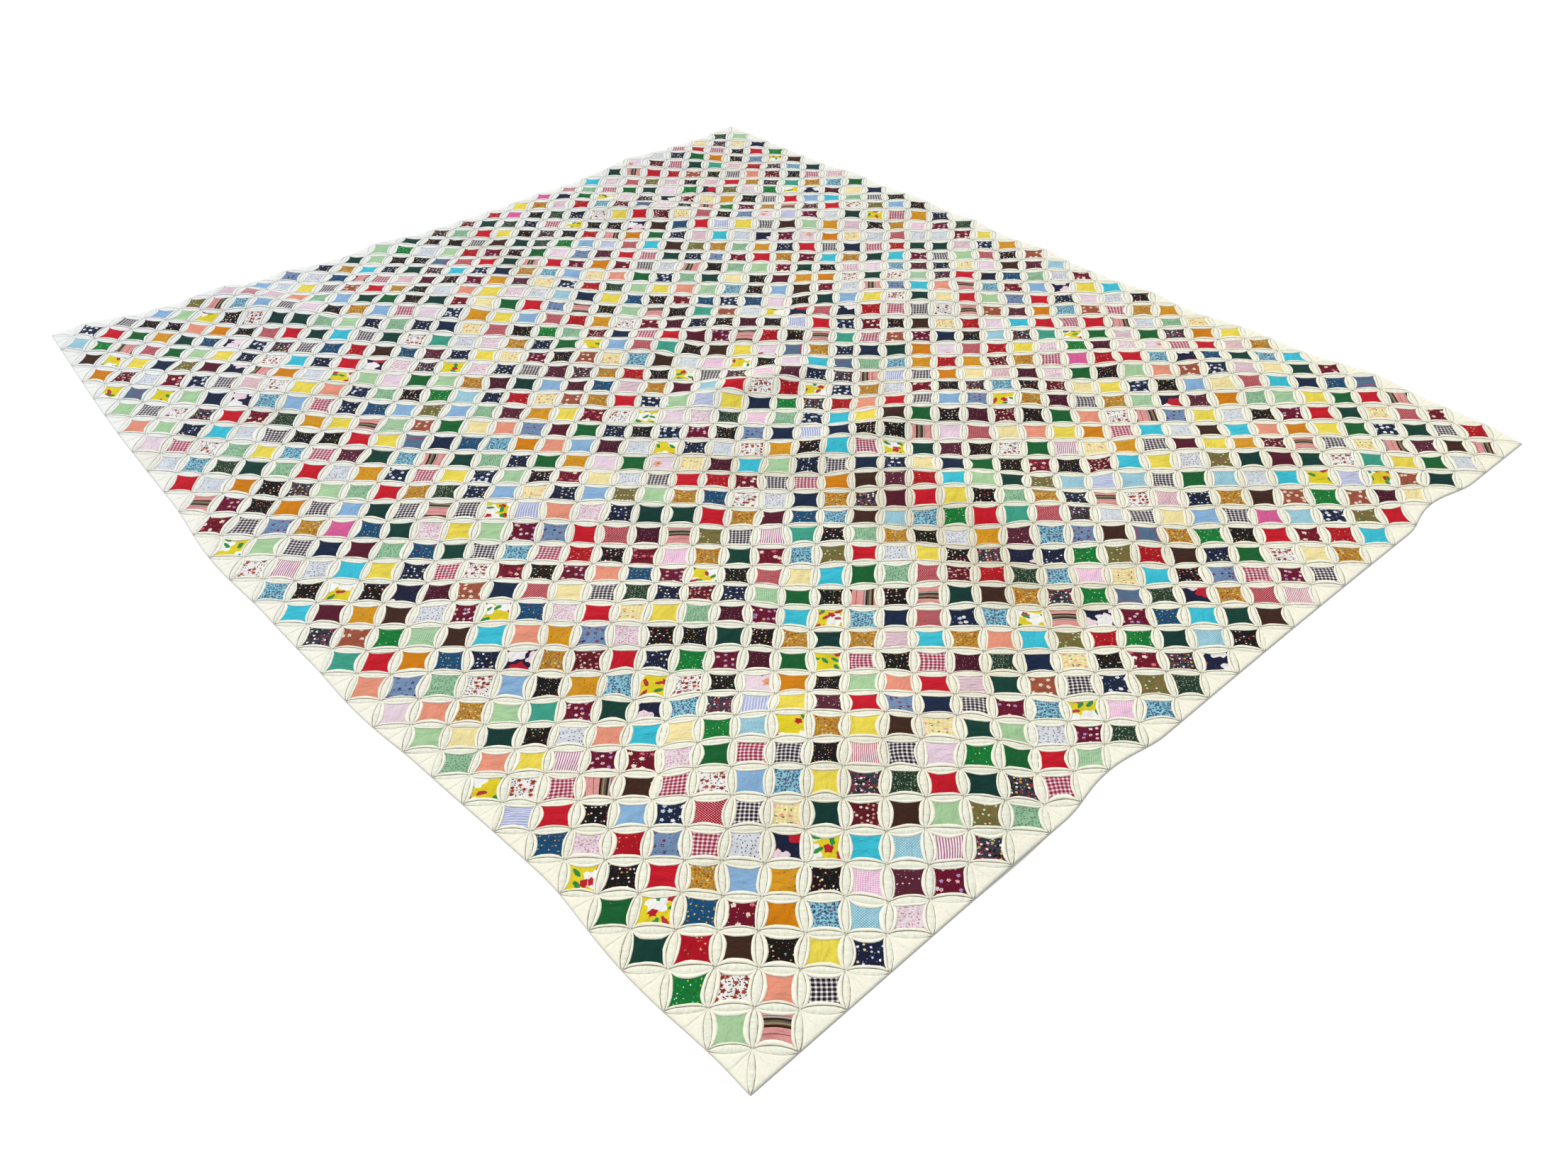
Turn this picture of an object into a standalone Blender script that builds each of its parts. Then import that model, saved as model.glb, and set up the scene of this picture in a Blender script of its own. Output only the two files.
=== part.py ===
"""Cathedral window patchwork quilt, spread out face up on a flat floor.

The quilt is one sewn cloth. Squares of muslin are folded to blocks and joined edge to edge,
25 across and 30 along. A small patch lies over each seam between two blocks, and the folded
muslin round it is rolled over its edges and stitched down, so every block carries four curved
rims, from its centre to its corners, and the patches lie a little lower between them.

Metres, +Z up. +X runs along the quilt's long side and +Y along its short side. The origin is on
the floor under the middle of the quilt. Places on the quilt are counted in blocks from its
corner at +X, -Y: "across" runs along the short side and "along" runs down the long side.
"""

import math
from collections import namedtuple

import bmesh
import bpy
from mathutils import Vector

NAME = "quilt"
COLLECTION = "patchwork_quilt"

# Sizes of the cloth, in metres
BLOCK = 0.076
BLOCKS_ACROSS = 25
BLOCKS_ALONG = 30
RIM_THICKNESS = 0.0045
WINDOW_THICKNESS = 0.0025
EDGE_THICKNESS = 0.0022
MILLIMETRE = 0.001

MUSLIN_COLOUR = (0.80, 0.78, 0.67, 1.0)
MUSLIN_ROUGHNESS = 0.92

# How far the sheet lies from a true grid, in millimetres, at a few stations along the quilt.
# The columns are the places across it where the sheet was measured.
DRIFT_COLUMNS = (0, 8, 16, 25)
DriftRow = namedtuple("DriftRow", "along left left_middle right_middle right")
DRIFT_ACROSS = (
    DriftRow(0, 20, 20, 10, 15),
    DriftRow(5, 20, 0, -5, 25),
    DriftRow(10, -5, -10, -5, 0),
    DriftRow(15, -20, -10, -10, 0),
    DriftRow(20, -10, 0, -5, 5),
    DriftRow(25, 10, 10, 10, -5),
    DriftRow(30, 45, 25, 15, -5),
)
DRIFT_ALONG = (
    DriftRow(0, -5, 10, 15, 10),
    DriftRow(5, -5, 0, 5, 15),
    DriftRow(10, -25, -15, 0, 5),
    DriftRow(15, -10, -5, -15, 5),
    DriftRow(20, 20, 0, -20, -5),
    DriftRow(25, 70, 20, -10, -10),
    DriftRow(30, 110, 20, -15, -10),
)

# Waves in the outline: where along its edge each one is and how far it reaches each way, in
# blocks, and how far it stands out, in millimetres. A dent has a negative size.
WAVE_DEPTH = 1.5
Wave = namedtuple("Wave", "edge place reach out")
WAVES = (
    Wave("left", 3.0, 2.5, 12),
    Wave("left", 11.5, 2.0, 6),
    Wave("left", 18.0, 2.5, 10),
    Wave("right", 0.0, 1.0, -12),
    Wave("right", 4.0, 1.3, 12),
    Wave("right", 6.0, 1.0, -6),
    Wave("right", 8.0, 1.3, 7),
    Wave("right", 11.0, 1.2, 14),
    Wave("right", 15.0, 1.2, 12),
    Wave("right", 18.0, 1.0, 12),
    Wave("right", 23.5, 1.3, 14),
    Wave("near", 9.0, 1.5, -14),
    Wave("near", 21.0, 1.4, -18),
    Wave("far", 1.0, 1.3, 20),
    Wave("far", 5.0, 1.3, -12),
    Wave("far", 7.0, 1.1, 16),
    Wave("far", 10.2, 1.2, 20),
    Wave("far", 20.0, 1.1, 14),
    Wave("far", 24.6, 1.0, 8),
)

# Soft ridges where the quilt doesn't lie flat. Each runs from one place to another, given as
# blocks across and blocks along. The crest is its height in millimetres, and near and far are
# the widths of its two slopes in blocks, on the side of the corner at +X, -Y and beyond it.
Fold = namedtuple("Fold", "name from_across from_along to_across to_along crest near far")
FOLDS = (
    Fold("near_left", 3.8, 6.8, 8.6, 1.6, 20, 4.0, 2.2),
    Fold("left_low", 2.5, 13.5, 8.0, 7.5, 13, 3.0, 2.0),
    Fold("left_middle", 3.8, 17.0, 10.3, 11.2, 9, 1.6, 1.6),
    Fold("centre_front", 9.6, 10.6, 11.9, 4.6, 8, 1.3, 1.3),
    Fold("centre_long", 12.6, 11.2, 15.6, 3.4, 12, 1.4, 1.5),
    Fold("right_front", 17.2, 7.0, 22.2, 1.4, 10, 2.2, 1.6),
    Fold("right_corner", 20.4, 11.4, 23.8, 4.2, 9, 1.6, 1.6),
    Fold("right_middle", 14.6, 12.4, 19.0, 8.6, 10, 1.3, 2.2),
    Fold("right_high", 17.2, 18.2, 21.6, 14.2, 12, 1.8, 2.6),
    Fold("middle_high", 13.8, 19.6, 17.2, 15.8, 9, 1.1, 1.6),
    Fold("sharp_crease", 11.2, 16.0, 15.8, 14.8, 12, 1.2, 1.0),
    Fold("second_crease", 11.6, 12.2, 16.2, 11.0, 9, 1.2, 1.0),
    Fold("middle_short", 10.2, 20.4, 13.8, 18.2, 8, 1.2, 1.4),
    Fold("far_left_long", 5.6, 27.0, 13.4, 23.2, 10, 2.8, 3.2),
    Fold("far_left_edge", 4.2, 31.6, 6.4, 26.0, 18, 1.2, 1.2),
    Fold("far_left_short", 2.0, 26.4, 5.2, 21.6, 8, 1.4, 1.4),
    Fold("far_middle", 15.2, 30.5, 19.0, 24.2, 8, 1.2, 1.6),
    Fold("far_right_edge", 17.6, 31.0, 23.2, 28.2, 10, 1.6, 2.0),
    Fold("far_right_inner", 17.8, 24.8, 21.8, 21.6, 9, 1.5, 1.8),
    Fold("far_right_long", 20.4, 22.2, 25.6, 19.8, 9, 1.3, 2.0),
)


def clear_scene():
    """Remove every object from the open file."""
    for item in list(bpy.data.objects):
        bpy.data.objects.remove(item, do_unlink=True)


def slope_at(places, values, index):
    """Slope of a smooth line through the values at one of its places."""
    before = max(index - 1, 0)
    after = min(index + 1, len(places) - 1)
    return (values[after] - values[before]) / (places[after] - places[before])


def smooth_between(places, values, at):
    """Value at a place on the smooth line through the values."""
    index = 0
    while index < len(places) - 2 and at >= places[index + 1]:
        index += 1
    span = places[index + 1] - places[index]
    part = (at - places[index]) / span
    start_slope = slope_at(places, values, index) * span
    end_slope = slope_at(places, values, index + 1) * span
    square = part * part
    cube = square * part
    start = (2 * cube - 3 * square + 1) * values[index]
    end = (3 * square - 2 * cube) * values[index + 1]
    return start + end + (cube - 2 * square + part) * start_slope + (cube - square) * end_slope


def drift(rows, across, along):
    """Metres by which a place on the sheet lies off its true grid."""
    stations = [row.along for row in rows]
    columns = zip(*(row[1:] for row in rows))
    values = [smooth_between(stations, column, along) for column in columns]
    return smooth_between(DRIFT_COLUMNS, values, across) * MILLIMETRE


def bump(distance, reach):
    """A soft hump, 1 in the middle and 0 from its reach outwards."""
    part = abs(distance) / reach
    return (1 - part * part) ** 2 if part < 1 else 0.0


def wave(edge, place, inward):
    """Metres by which an edge's waves push a place out, fading into the quilt."""
    total = sum(row.out * bump(place - row.place, row.reach) for row in WAVES if row.edge == edge)
    return total * bump(inward, WAVE_DEPTH) * MILLIMETRE


def fold_height(fold, across, along):
    """Height in metres that one fold gives a place on the quilt."""
    run = Vector((fold.to_across - fold.from_across, fold.to_along - fold.from_along))
    offset = Vector((across - fold.from_across, along - fold.from_along))
    part = offset.dot(run) / run.length_squared
    if not 0 < part < 1:
        return 0.0
    away = Vector((-run.y, run.x)).normalized()
    if away.x + away.y < 0:
        away.negate()
    distance = offset.dot(away)
    taper = 1 - abs(2 * part - 1) ** 3
    reach = fold.far if distance > 0 else fold.near
    return fold.crest * MILLIMETRE * taper * bump(distance, reach)


def flat_place(across, along):
    """Place on the floor, in metres, of a point of the quilt."""
    left = wave("left", along, across)
    right = wave("right", along, BLOCKS_ACROSS - across)
    near = wave("near", across, along)
    far = wave("far", across, BLOCKS_ALONG - along)
    shift_across = drift(DRIFT_ACROSS, across, along) + right - left
    shift_along = drift(DRIFT_ALONG, across, along) + far - near
    x = (BLOCKS_ALONG / 2 - along) * BLOCK - shift_along
    y = (across - BLOCKS_ACROSS / 2) * BLOCK + shift_across
    return Vector((x, y, 0.0))


def corner_height(across, along):
    """Height of the underside at a corner where blocks meet."""
    return sum(fold_height(fold, across, along) for fold in FOLDS)


def underside_height(across, along):
    """Height of the underside at a block's corner, its centre or the middle of its side."""
    low_across = math.floor(across)
    low_along = math.floor(along)
    high_across = math.ceil(across)
    high_along = math.ceil(along)
    return (corner_height(low_across, low_along) + corner_height(high_across, high_along)) / 2


def thickness(step_across, step_along):
    """Thickness of the quilt at a place counted in half blocks."""
    at_side = step_across in (0, 2 * BLOCKS_ACROSS)
    at_end = step_along in (0, 2 * BLOCKS_ALONG)
    if at_side or at_end:
        return EDGE_THICKNESS
    on_rim = (step_across + step_along) % 2 == 0
    return RIM_THICKNESS if on_rim else WINDOW_THICKNESS


def grid_vertices(mesh, steps_per_block):
    """Add a flat grid and return its vertices by their step across and step along."""
    steps_along = BLOCKS_ALONG * steps_per_block
    steps_across = BLOCKS_ACROSS * steps_per_block
    made = bmesh.ops.create_grid(mesh, x_segments=steps_along, y_segments=steps_across, size=0.5)
    vertices = {}
    for vertex in made["verts"]:
        along = round((0.5 - vertex.co.x) * steps_along)
        across = round((vertex.co.y + 0.5) * steps_across)
        vertices[across, along] = vertex
    return vertices


def make_top(mesh):
    """The upper side: rims raised between sunk windows, split along the rims."""
    top = grid_vertices(mesh, 2)
    for (across, along), vertex in top.items():
        place = flat_place(across / 2, along / 2)
        place.z = underside_height(across / 2, along / 2) + thickness(across, along)
        vertex.co = place
    step_of = {vertex: step for step, vertex in top.items()}
    for face in list(mesh.faces):
        ends = [vertex for vertex in face.verts if sum(step_of[vertex]) % 2 == 0]
        bmesh.utils.face_split(face, ends[0], ends[1])
    return top


def make_underside(mesh):
    """The underside: one flat square a block, split on the diagonal its height is read from."""
    upper_faces = set(mesh.faces)
    bottom = grid_vertices(mesh, 1)
    for (across, along), vertex in bottom.items():
        place = flat_place(across, along)
        place.z = corner_height(across, along)
        vertex.co = place
    step_of = {vertex: step for step, vertex in bottom.items()}
    for face in [face for face in mesh.faces if face not in upper_faces]:
        ordered = sorted(face.verts, key=lambda vertex: sum(step_of[vertex]))
        bmesh.utils.face_split(face, ordered[0], ordered[-1])
    return bottom


def edge_steps():
    """The four sides of the quilt, each as pairs of neighbouring block corners."""
    for across in range(BLOCKS_ACROSS):
        for along in (0, BLOCKS_ALONG):
            yield (across, along), (across + 1, along)
    for along in range(BLOCKS_ALONG):
        for across in (0, BLOCKS_ACROSS):
            yield (across, along), (across, along + 1)


def close_edge(mesh, top, bottom):
    """Join the two sides round the outline, where the upper one has twice the points."""
    for first, second in edge_steps():
        low_first = bottom[first]
        low_second = bottom[second]
        high_first = top[2 * first[0], 2 * first[1]]
        high_middle = top[first[0] + second[0], first[1] + second[1]]
        high_second = top[2 * second[0], 2 * second[1]]
        mesh.faces.new((low_first, high_first, high_middle))
        mesh.faces.new((low_first, high_middle, low_second))
        mesh.faces.new((low_second, high_middle, high_second))


def centre_on_origin(mesh):
    """Move the quilt so that the middle of its outline's box is over the origin."""
    xs = [vertex.co.x for vertex in mesh.verts]
    ys = [vertex.co.y for vertex in mesh.verts]
    middle = Vector(((min(xs) + max(xs)) / 2, (min(ys) + max(ys)) / 2, 0.0))
    bmesh.ops.translate(mesh, verts=mesh.verts, vec=-middle)


def muslin_material():
    """Unbleached cotton muslin."""
    material = bpy.data.materials.new("unbleached_muslin")
    material.use_nodes = True
    shader = material.node_tree.nodes["Principled BSDF"]
    shader.inputs["Base Color"].default_value = MUSLIN_COLOUR
    shader.inputs["Roughness"].default_value = MUSLIN_ROUGHNESS
    shader.inputs["Metallic"].default_value = 0.0
    return material


def make_quilt(collection):
    """The whole quilt as one closed solid."""
    mesh = bmesh.new()
    top = make_top(mesh)
    bottom = make_underside(mesh)
    close_edge(mesh, top, bottom)
    bmesh.ops.recalc_face_normals(mesh, faces=mesh.faces)
    centre_on_origin(mesh)
    data = bpy.data.meshes.new(NAME)
    mesh.to_mesh(data)
    mesh.free()
    data.shade_smooth()
    data.materials.append(muslin_material())
    quilt = bpy.data.objects.new(NAME, data)
    collection.objects.link(quilt)
    return quilt


def main():
    """Build the quilt in its own collection."""
    clear_scene()
    collection = bpy.data.collections.new(COLLECTION)
    bpy.context.scene.collection.children.link(collection)
    make_quilt(collection)


main()
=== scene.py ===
"""Looks of a cathedral window patchwork quilt, spread out face up on a pale floor.

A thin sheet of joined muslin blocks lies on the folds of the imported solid. On it stand the curved
petals, each a slim muslin lens between two rims that are rolled over the patches and stitched
down, and in the windows between the petals lie small patches of dyed and printed cotton.

Places on the quilt are counted in blocks from its corner at +X, -Y: "across" runs along the short
side and "along" runs down the long side. Lengths are in metres unless a name says millimetres.
"""

import logging
import math
from collections.abc import Callable, Iterator
from dataclasses import dataclass, field
from enum import Enum
from functools import partial
from typing import NamedTuple

import bpy
import numpy as np
from bpy.types import Light, Material, Mesh, Node, NodeSocket, NodeTree, Object
from mathutils import Matrix, Vector


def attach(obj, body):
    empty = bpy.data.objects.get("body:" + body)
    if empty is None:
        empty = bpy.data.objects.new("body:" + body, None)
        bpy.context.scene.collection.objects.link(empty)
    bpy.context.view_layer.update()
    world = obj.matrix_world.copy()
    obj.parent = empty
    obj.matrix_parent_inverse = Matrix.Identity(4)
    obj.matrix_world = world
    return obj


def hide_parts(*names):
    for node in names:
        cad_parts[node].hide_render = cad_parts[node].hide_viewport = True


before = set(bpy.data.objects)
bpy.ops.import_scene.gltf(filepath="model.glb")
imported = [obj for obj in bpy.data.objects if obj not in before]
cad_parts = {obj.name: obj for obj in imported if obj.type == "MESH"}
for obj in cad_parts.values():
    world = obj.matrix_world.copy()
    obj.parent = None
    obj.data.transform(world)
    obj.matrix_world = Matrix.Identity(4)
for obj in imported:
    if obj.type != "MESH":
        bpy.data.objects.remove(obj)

LOG = logging.getLogger("quilt_looks")
MILLIMETRE = 0.001
BODY = "root"
NODE = "quilt"
YARDAGE = "Yardage"
BAKE_MAP = "OFBake"
CREASE_SHADE_ATTRIBUTE = "fold_depth"
AGE_ATTRIBUTE = "yellowed"
# What adds a node to one material: add_node, with the material's tree already given.
AddNode = Callable[..., Node]


class SheetRow(NamedTuple):
    """Millimetres of drift or of reach, at one station along the sheet and four columns across."""

    along: float
    left: float
    left_middle: float
    right_middle: float
    right: float


class Wave(NamedTuple):
    """A wave in the outline: its place and reach in blocks, and how far it stands out in mm."""

    edge: str
    place: float
    reach: float
    out: float


class Fold(NamedTuple):
    """A soft ridge: its two ends and its slopes in blocks, and its crest's height in mm.

    The same form serves for streaks of yellowed muslin, whose crest is a share from 0 to 1.
    """

    from_across: float
    from_along: float
    to_across: float
    to_along: float
    crest: float
    near: float
    far: float


SHEET_COLUMNS = (0.0, 8.0, 16.0, 25.0)
DRIFT_ACROSS = (
    SheetRow(0, 20, 20, 10, 15),
    SheetRow(5, 20, 0, -5, 25),
    SheetRow(10, -5, -10, -5, 0),
    SheetRow(15, -20, -10, -10, 0),
    SheetRow(20, -10, 0, -5, 5),
    SheetRow(25, 10, 10, 10, -5),
    SheetRow(30, 45, 25, 15, -5),
)
DRIFT_ALONG = (
    SheetRow(0, -5, 10, 15, 10),
    SheetRow(5, -5, 0, 5, 15),
    SheetRow(10, -25, -15, 0, 5),
    SheetRow(15, -10, -5, -15, 5),
    SheetRow(20, 20, 0, -20, -5),
    SheetRow(25, 70, 20, -10, -10),
    SheetRow(30, 110, 20, -15, -10),
)
# How far a petal's rims reach from its middle line: the hands that rolled them were not even.
PETAL_REACH = (
    SheetRow(0, 11.3, 10.2, 9.6, 10.5),
    SheetRow(8, 9.7, 8.8, 8.6, 10.3),
    SheetRow(16, 9.2, 8.3, 9.1, 10.1),
    SheetRow(24, 10.1, 9.5, 10.0, 10.4),
    SheetRow(30, 11.0, 11.3, 11.0, 11.2),
)
WAVES = (
    Wave("left", 3.0, 2.5, 12),
    Wave("left", 11.5, 2.0, 6),
    Wave("left", 18.0, 2.5, 10),
    Wave("right", 0.0, 1.0, -12),
    Wave("right", 4.0, 1.3, 12),
    Wave("right", 6.0, 1.0, -6),
    Wave("right", 8.0, 1.3, 7),
    Wave("right", 11.0, 1.2, 14),
    Wave("right", 15.0, 1.2, 12),
    Wave("right", 18.0, 1.0, 12),
    Wave("right", 23.5, 1.3, 14),
    Wave("near", 9.0, 1.5, -14),
    Wave("near", 21.0, 1.4, -18),
    Wave("far", 1.0, 1.3, 20),
    Wave("far", 5.0, 1.3, -12),
    Wave("far", 7.0, 1.1, 16),
    Wave("far", 10.2, 1.2, 20),
    Wave("far", 20.0, 1.1, 14),
    Wave("far", 24.6, 1.0, 8),
)
FOLDS = (
    Fold(3.8, 6.8, 8.6, 1.6, 20, 4.0, 2.2),
    Fold(2.5, 13.5, 8.0, 7.5, 13, 3.0, 2.0),
    Fold(3.8, 17.0, 10.3, 11.2, 9, 1.6, 1.6),
    Fold(9.6, 10.6, 11.9, 4.6, 8, 1.3, 1.3),
    Fold(12.6, 11.2, 15.6, 3.4, 12, 1.4, 1.5),
    Fold(17.2, 7.0, 22.2, 1.4, 10, 2.2, 1.6),
    Fold(20.4, 11.4, 23.8, 4.2, 9, 1.6, 1.6),
    Fold(14.6, 12.4, 19.0, 8.6, 10, 1.3, 2.2),
    Fold(17.2, 18.2, 21.6, 14.2, 12, 1.8, 2.6),
    Fold(13.8, 19.6, 17.2, 15.8, 9, 1.1, 1.6),
    Fold(11.2, 16.0, 15.8, 14.8, 12, 1.2, 1.0),
    Fold(11.6, 12.2, 16.2, 11.0, 9, 1.2, 1.0),
    Fold(10.2, 20.4, 13.8, 18.2, 8, 1.2, 1.4),
    Fold(5.6, 27.0, 13.4, 23.2, 10, 2.8, 3.2),
    Fold(4.2, 31.6, 6.4, 26.0, 18, 1.2, 1.2),
    Fold(2.0, 26.4, 5.2, 21.6, 8, 1.4, 1.4),
    Fold(15.2, 30.5, 19.0, 24.2, 8, 1.2, 1.6),
    Fold(17.6, 31.0, 23.2, 28.2, 10, 1.6, 2.0),
    Fold(17.8, 24.8, 21.8, 21.6, 9, 1.5, 1.8),
    Fold(20.4, 22.2, 25.6, 19.8, 9, 1.3, 2.0),
)
# Narrow lips on some of the folds, finer than the solid shows.
CREASES = (
    Fold(11.8, 15.8, 15.4, 14.8, 6, 0.7, 0.45),
    Fold(12.4, 11.9, 15.4, 11.1, 4, 0.8, 0.5),
    Fold(19.4, 27.4, 23.6, 22.6, 5, 0.7, 0.7),
    Fold(21.0, 28.6, 24.4, 24.2, 4, 0.6, 0.6),
    Fold(16.6, 27.8, 19.6, 24.2, 5, 0.7, 0.7),
)
# Where the muslin comes from an older, yellower piece of cloth, or has been soiled along a fold.
YELLOWED = (
    Fold(12.4, 3.0, 12.4, 11.0, 1.0, 1.9, 1.9),
    Fold(12.8, 10.2, 8.6, 15.2, 0.75, 1.5, 1.5),
    Fold(13.4, 11.0, 17.6, 14.2, 0.45, 1.3, 1.3),
    Fold(-1.0, 3.4, 26.0, 3.4, 0.45, 0.8, 0.8),
    Fold(-2.0, 22.5, 7.0, 22.5, 0.45, 0.8, 0.8),
    Fold(12.4, 23.0, 12.6, 29.8, 0.6, 0.9, 0.9),
    Fold(15.0, 26.4, 25.0, 27.4, 0.35, 2.2, 2.2),
    Fold(-1.0, 29.0, 5.0, 28.4, 0.25, 1.5, 1.5),
)


def linear_colour(hex_colour: str) -> tuple[float, float, float, float]:
    """Turn an sRGB hex colour into the linear colour that a shader takes.

    Args:
        hex_colour: Six hex digits after a hash mark.

    Returns:
        Linear red, green and blue, and an alpha of 1.
    """
    parts = [int(hex_colour[place : place + 2], 16) / 255 for place in (1, 3, 5)]
    linear = [c / 12.92 if c <= 0.04045 else ((c + 0.055) / 1.055) ** 2.4 for c in parts]
    return (*linear, 1.0)


def bump(distance: np.ndarray, reach: np.ndarray | float) -> np.ndarray:
    """Give a soft hump, 1 in the middle and 0 from its reach outwards."""
    part = np.minimum(np.abs(distance) / reach, 1.0)
    return (1.0 - part * part) ** 2


def smooth_line(places: np.ndarray, values: np.ndarray, at: np.ndarray) -> np.ndarray:
    """Read a smooth line through values at any place.

    Args:
        places: Where the values stand, rising.
        values: One row a place, either a number or one number for each place that is asked for.
        at: The places asked for.

    Returns:
        The line's value at each of them.
    """
    last = len(places) - 1
    before = np.maximum(np.arange(last + 1) - 1, 0)
    after = np.minimum(np.arange(last + 1) + 1, last)
    shape = (-1,) + (1,) * (values.ndim - 1)
    slopes = (values[after] - values[before]) / (places[after] - places[before]).reshape(shape)
    index = np.clip(np.searchsorted(places, at, side="right") - 1, 0, last - 1)
    span = places[index + 1] - places[index]
    part = (at - places[index]) / span
    column = () if values.ndim == 1 else (np.arange(len(at)),)
    pick, follow = (index, *column), (index + 1, *column)
    square = part * part
    cube = square * part
    start = (2 * cube - 3 * square + 1) * values[pick]
    end = (3 * square - 2 * cube) * values[follow]
    lean = (cube - 2 * square + part) * slopes[pick] + (cube - square) * slopes[follow]
    return start + end + lean * span


def read_sheet(rows: tuple[SheetRow, ...], spots: np.ndarray) -> np.ndarray:
    """Read a sheet's rows smoothly at any places on it.

    Args:
        rows: The rows, from the near end to the far one.
        spots: A row of blocks across and blocks along for each place.

    Returns:
        The drift or the reach at each place, in metres.
    """
    across, along = spots.T
    table = np.array(rows, float)
    columns = [smooth_line(table[:, 0], column, along) for column in table.T[1:]]
    return smooth_line(np.array(SHEET_COLUMNS), np.array(columns), across) * MILLIMETRE


def rounded_between(values: np.ndarray, places: np.ndarray) -> np.ndarray:
    """Read a grid of values at any place, rounding off between its points.

    Args:
        values: The grid, whose first two axes are its two directions.
        places: A row for each place, with its grid steps in both directions.

    Returns:
        A value for each place.
    """
    lows, weights = [], []
    for place, size in zip(places.T, values.shape):
        low = np.clip(np.floor(place).astype(int), 0, size - 2)
        part = np.clip(place - low, 0.0, 1.0)
        part = part * part * (3 - 2 * part)
        lows.append(low)
        weights.append(part.reshape(part.shape + (1,) * (values.ndim - 2)))
    (row, column), (one, two) = lows, weights
    near = values[row, column] * (1 - two) + values[row, column + 1] * two
    far = values[row + 1, column] * (1 - two) + values[row + 1, column + 1] * two
    return near * (1 - one) + far * one


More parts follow.
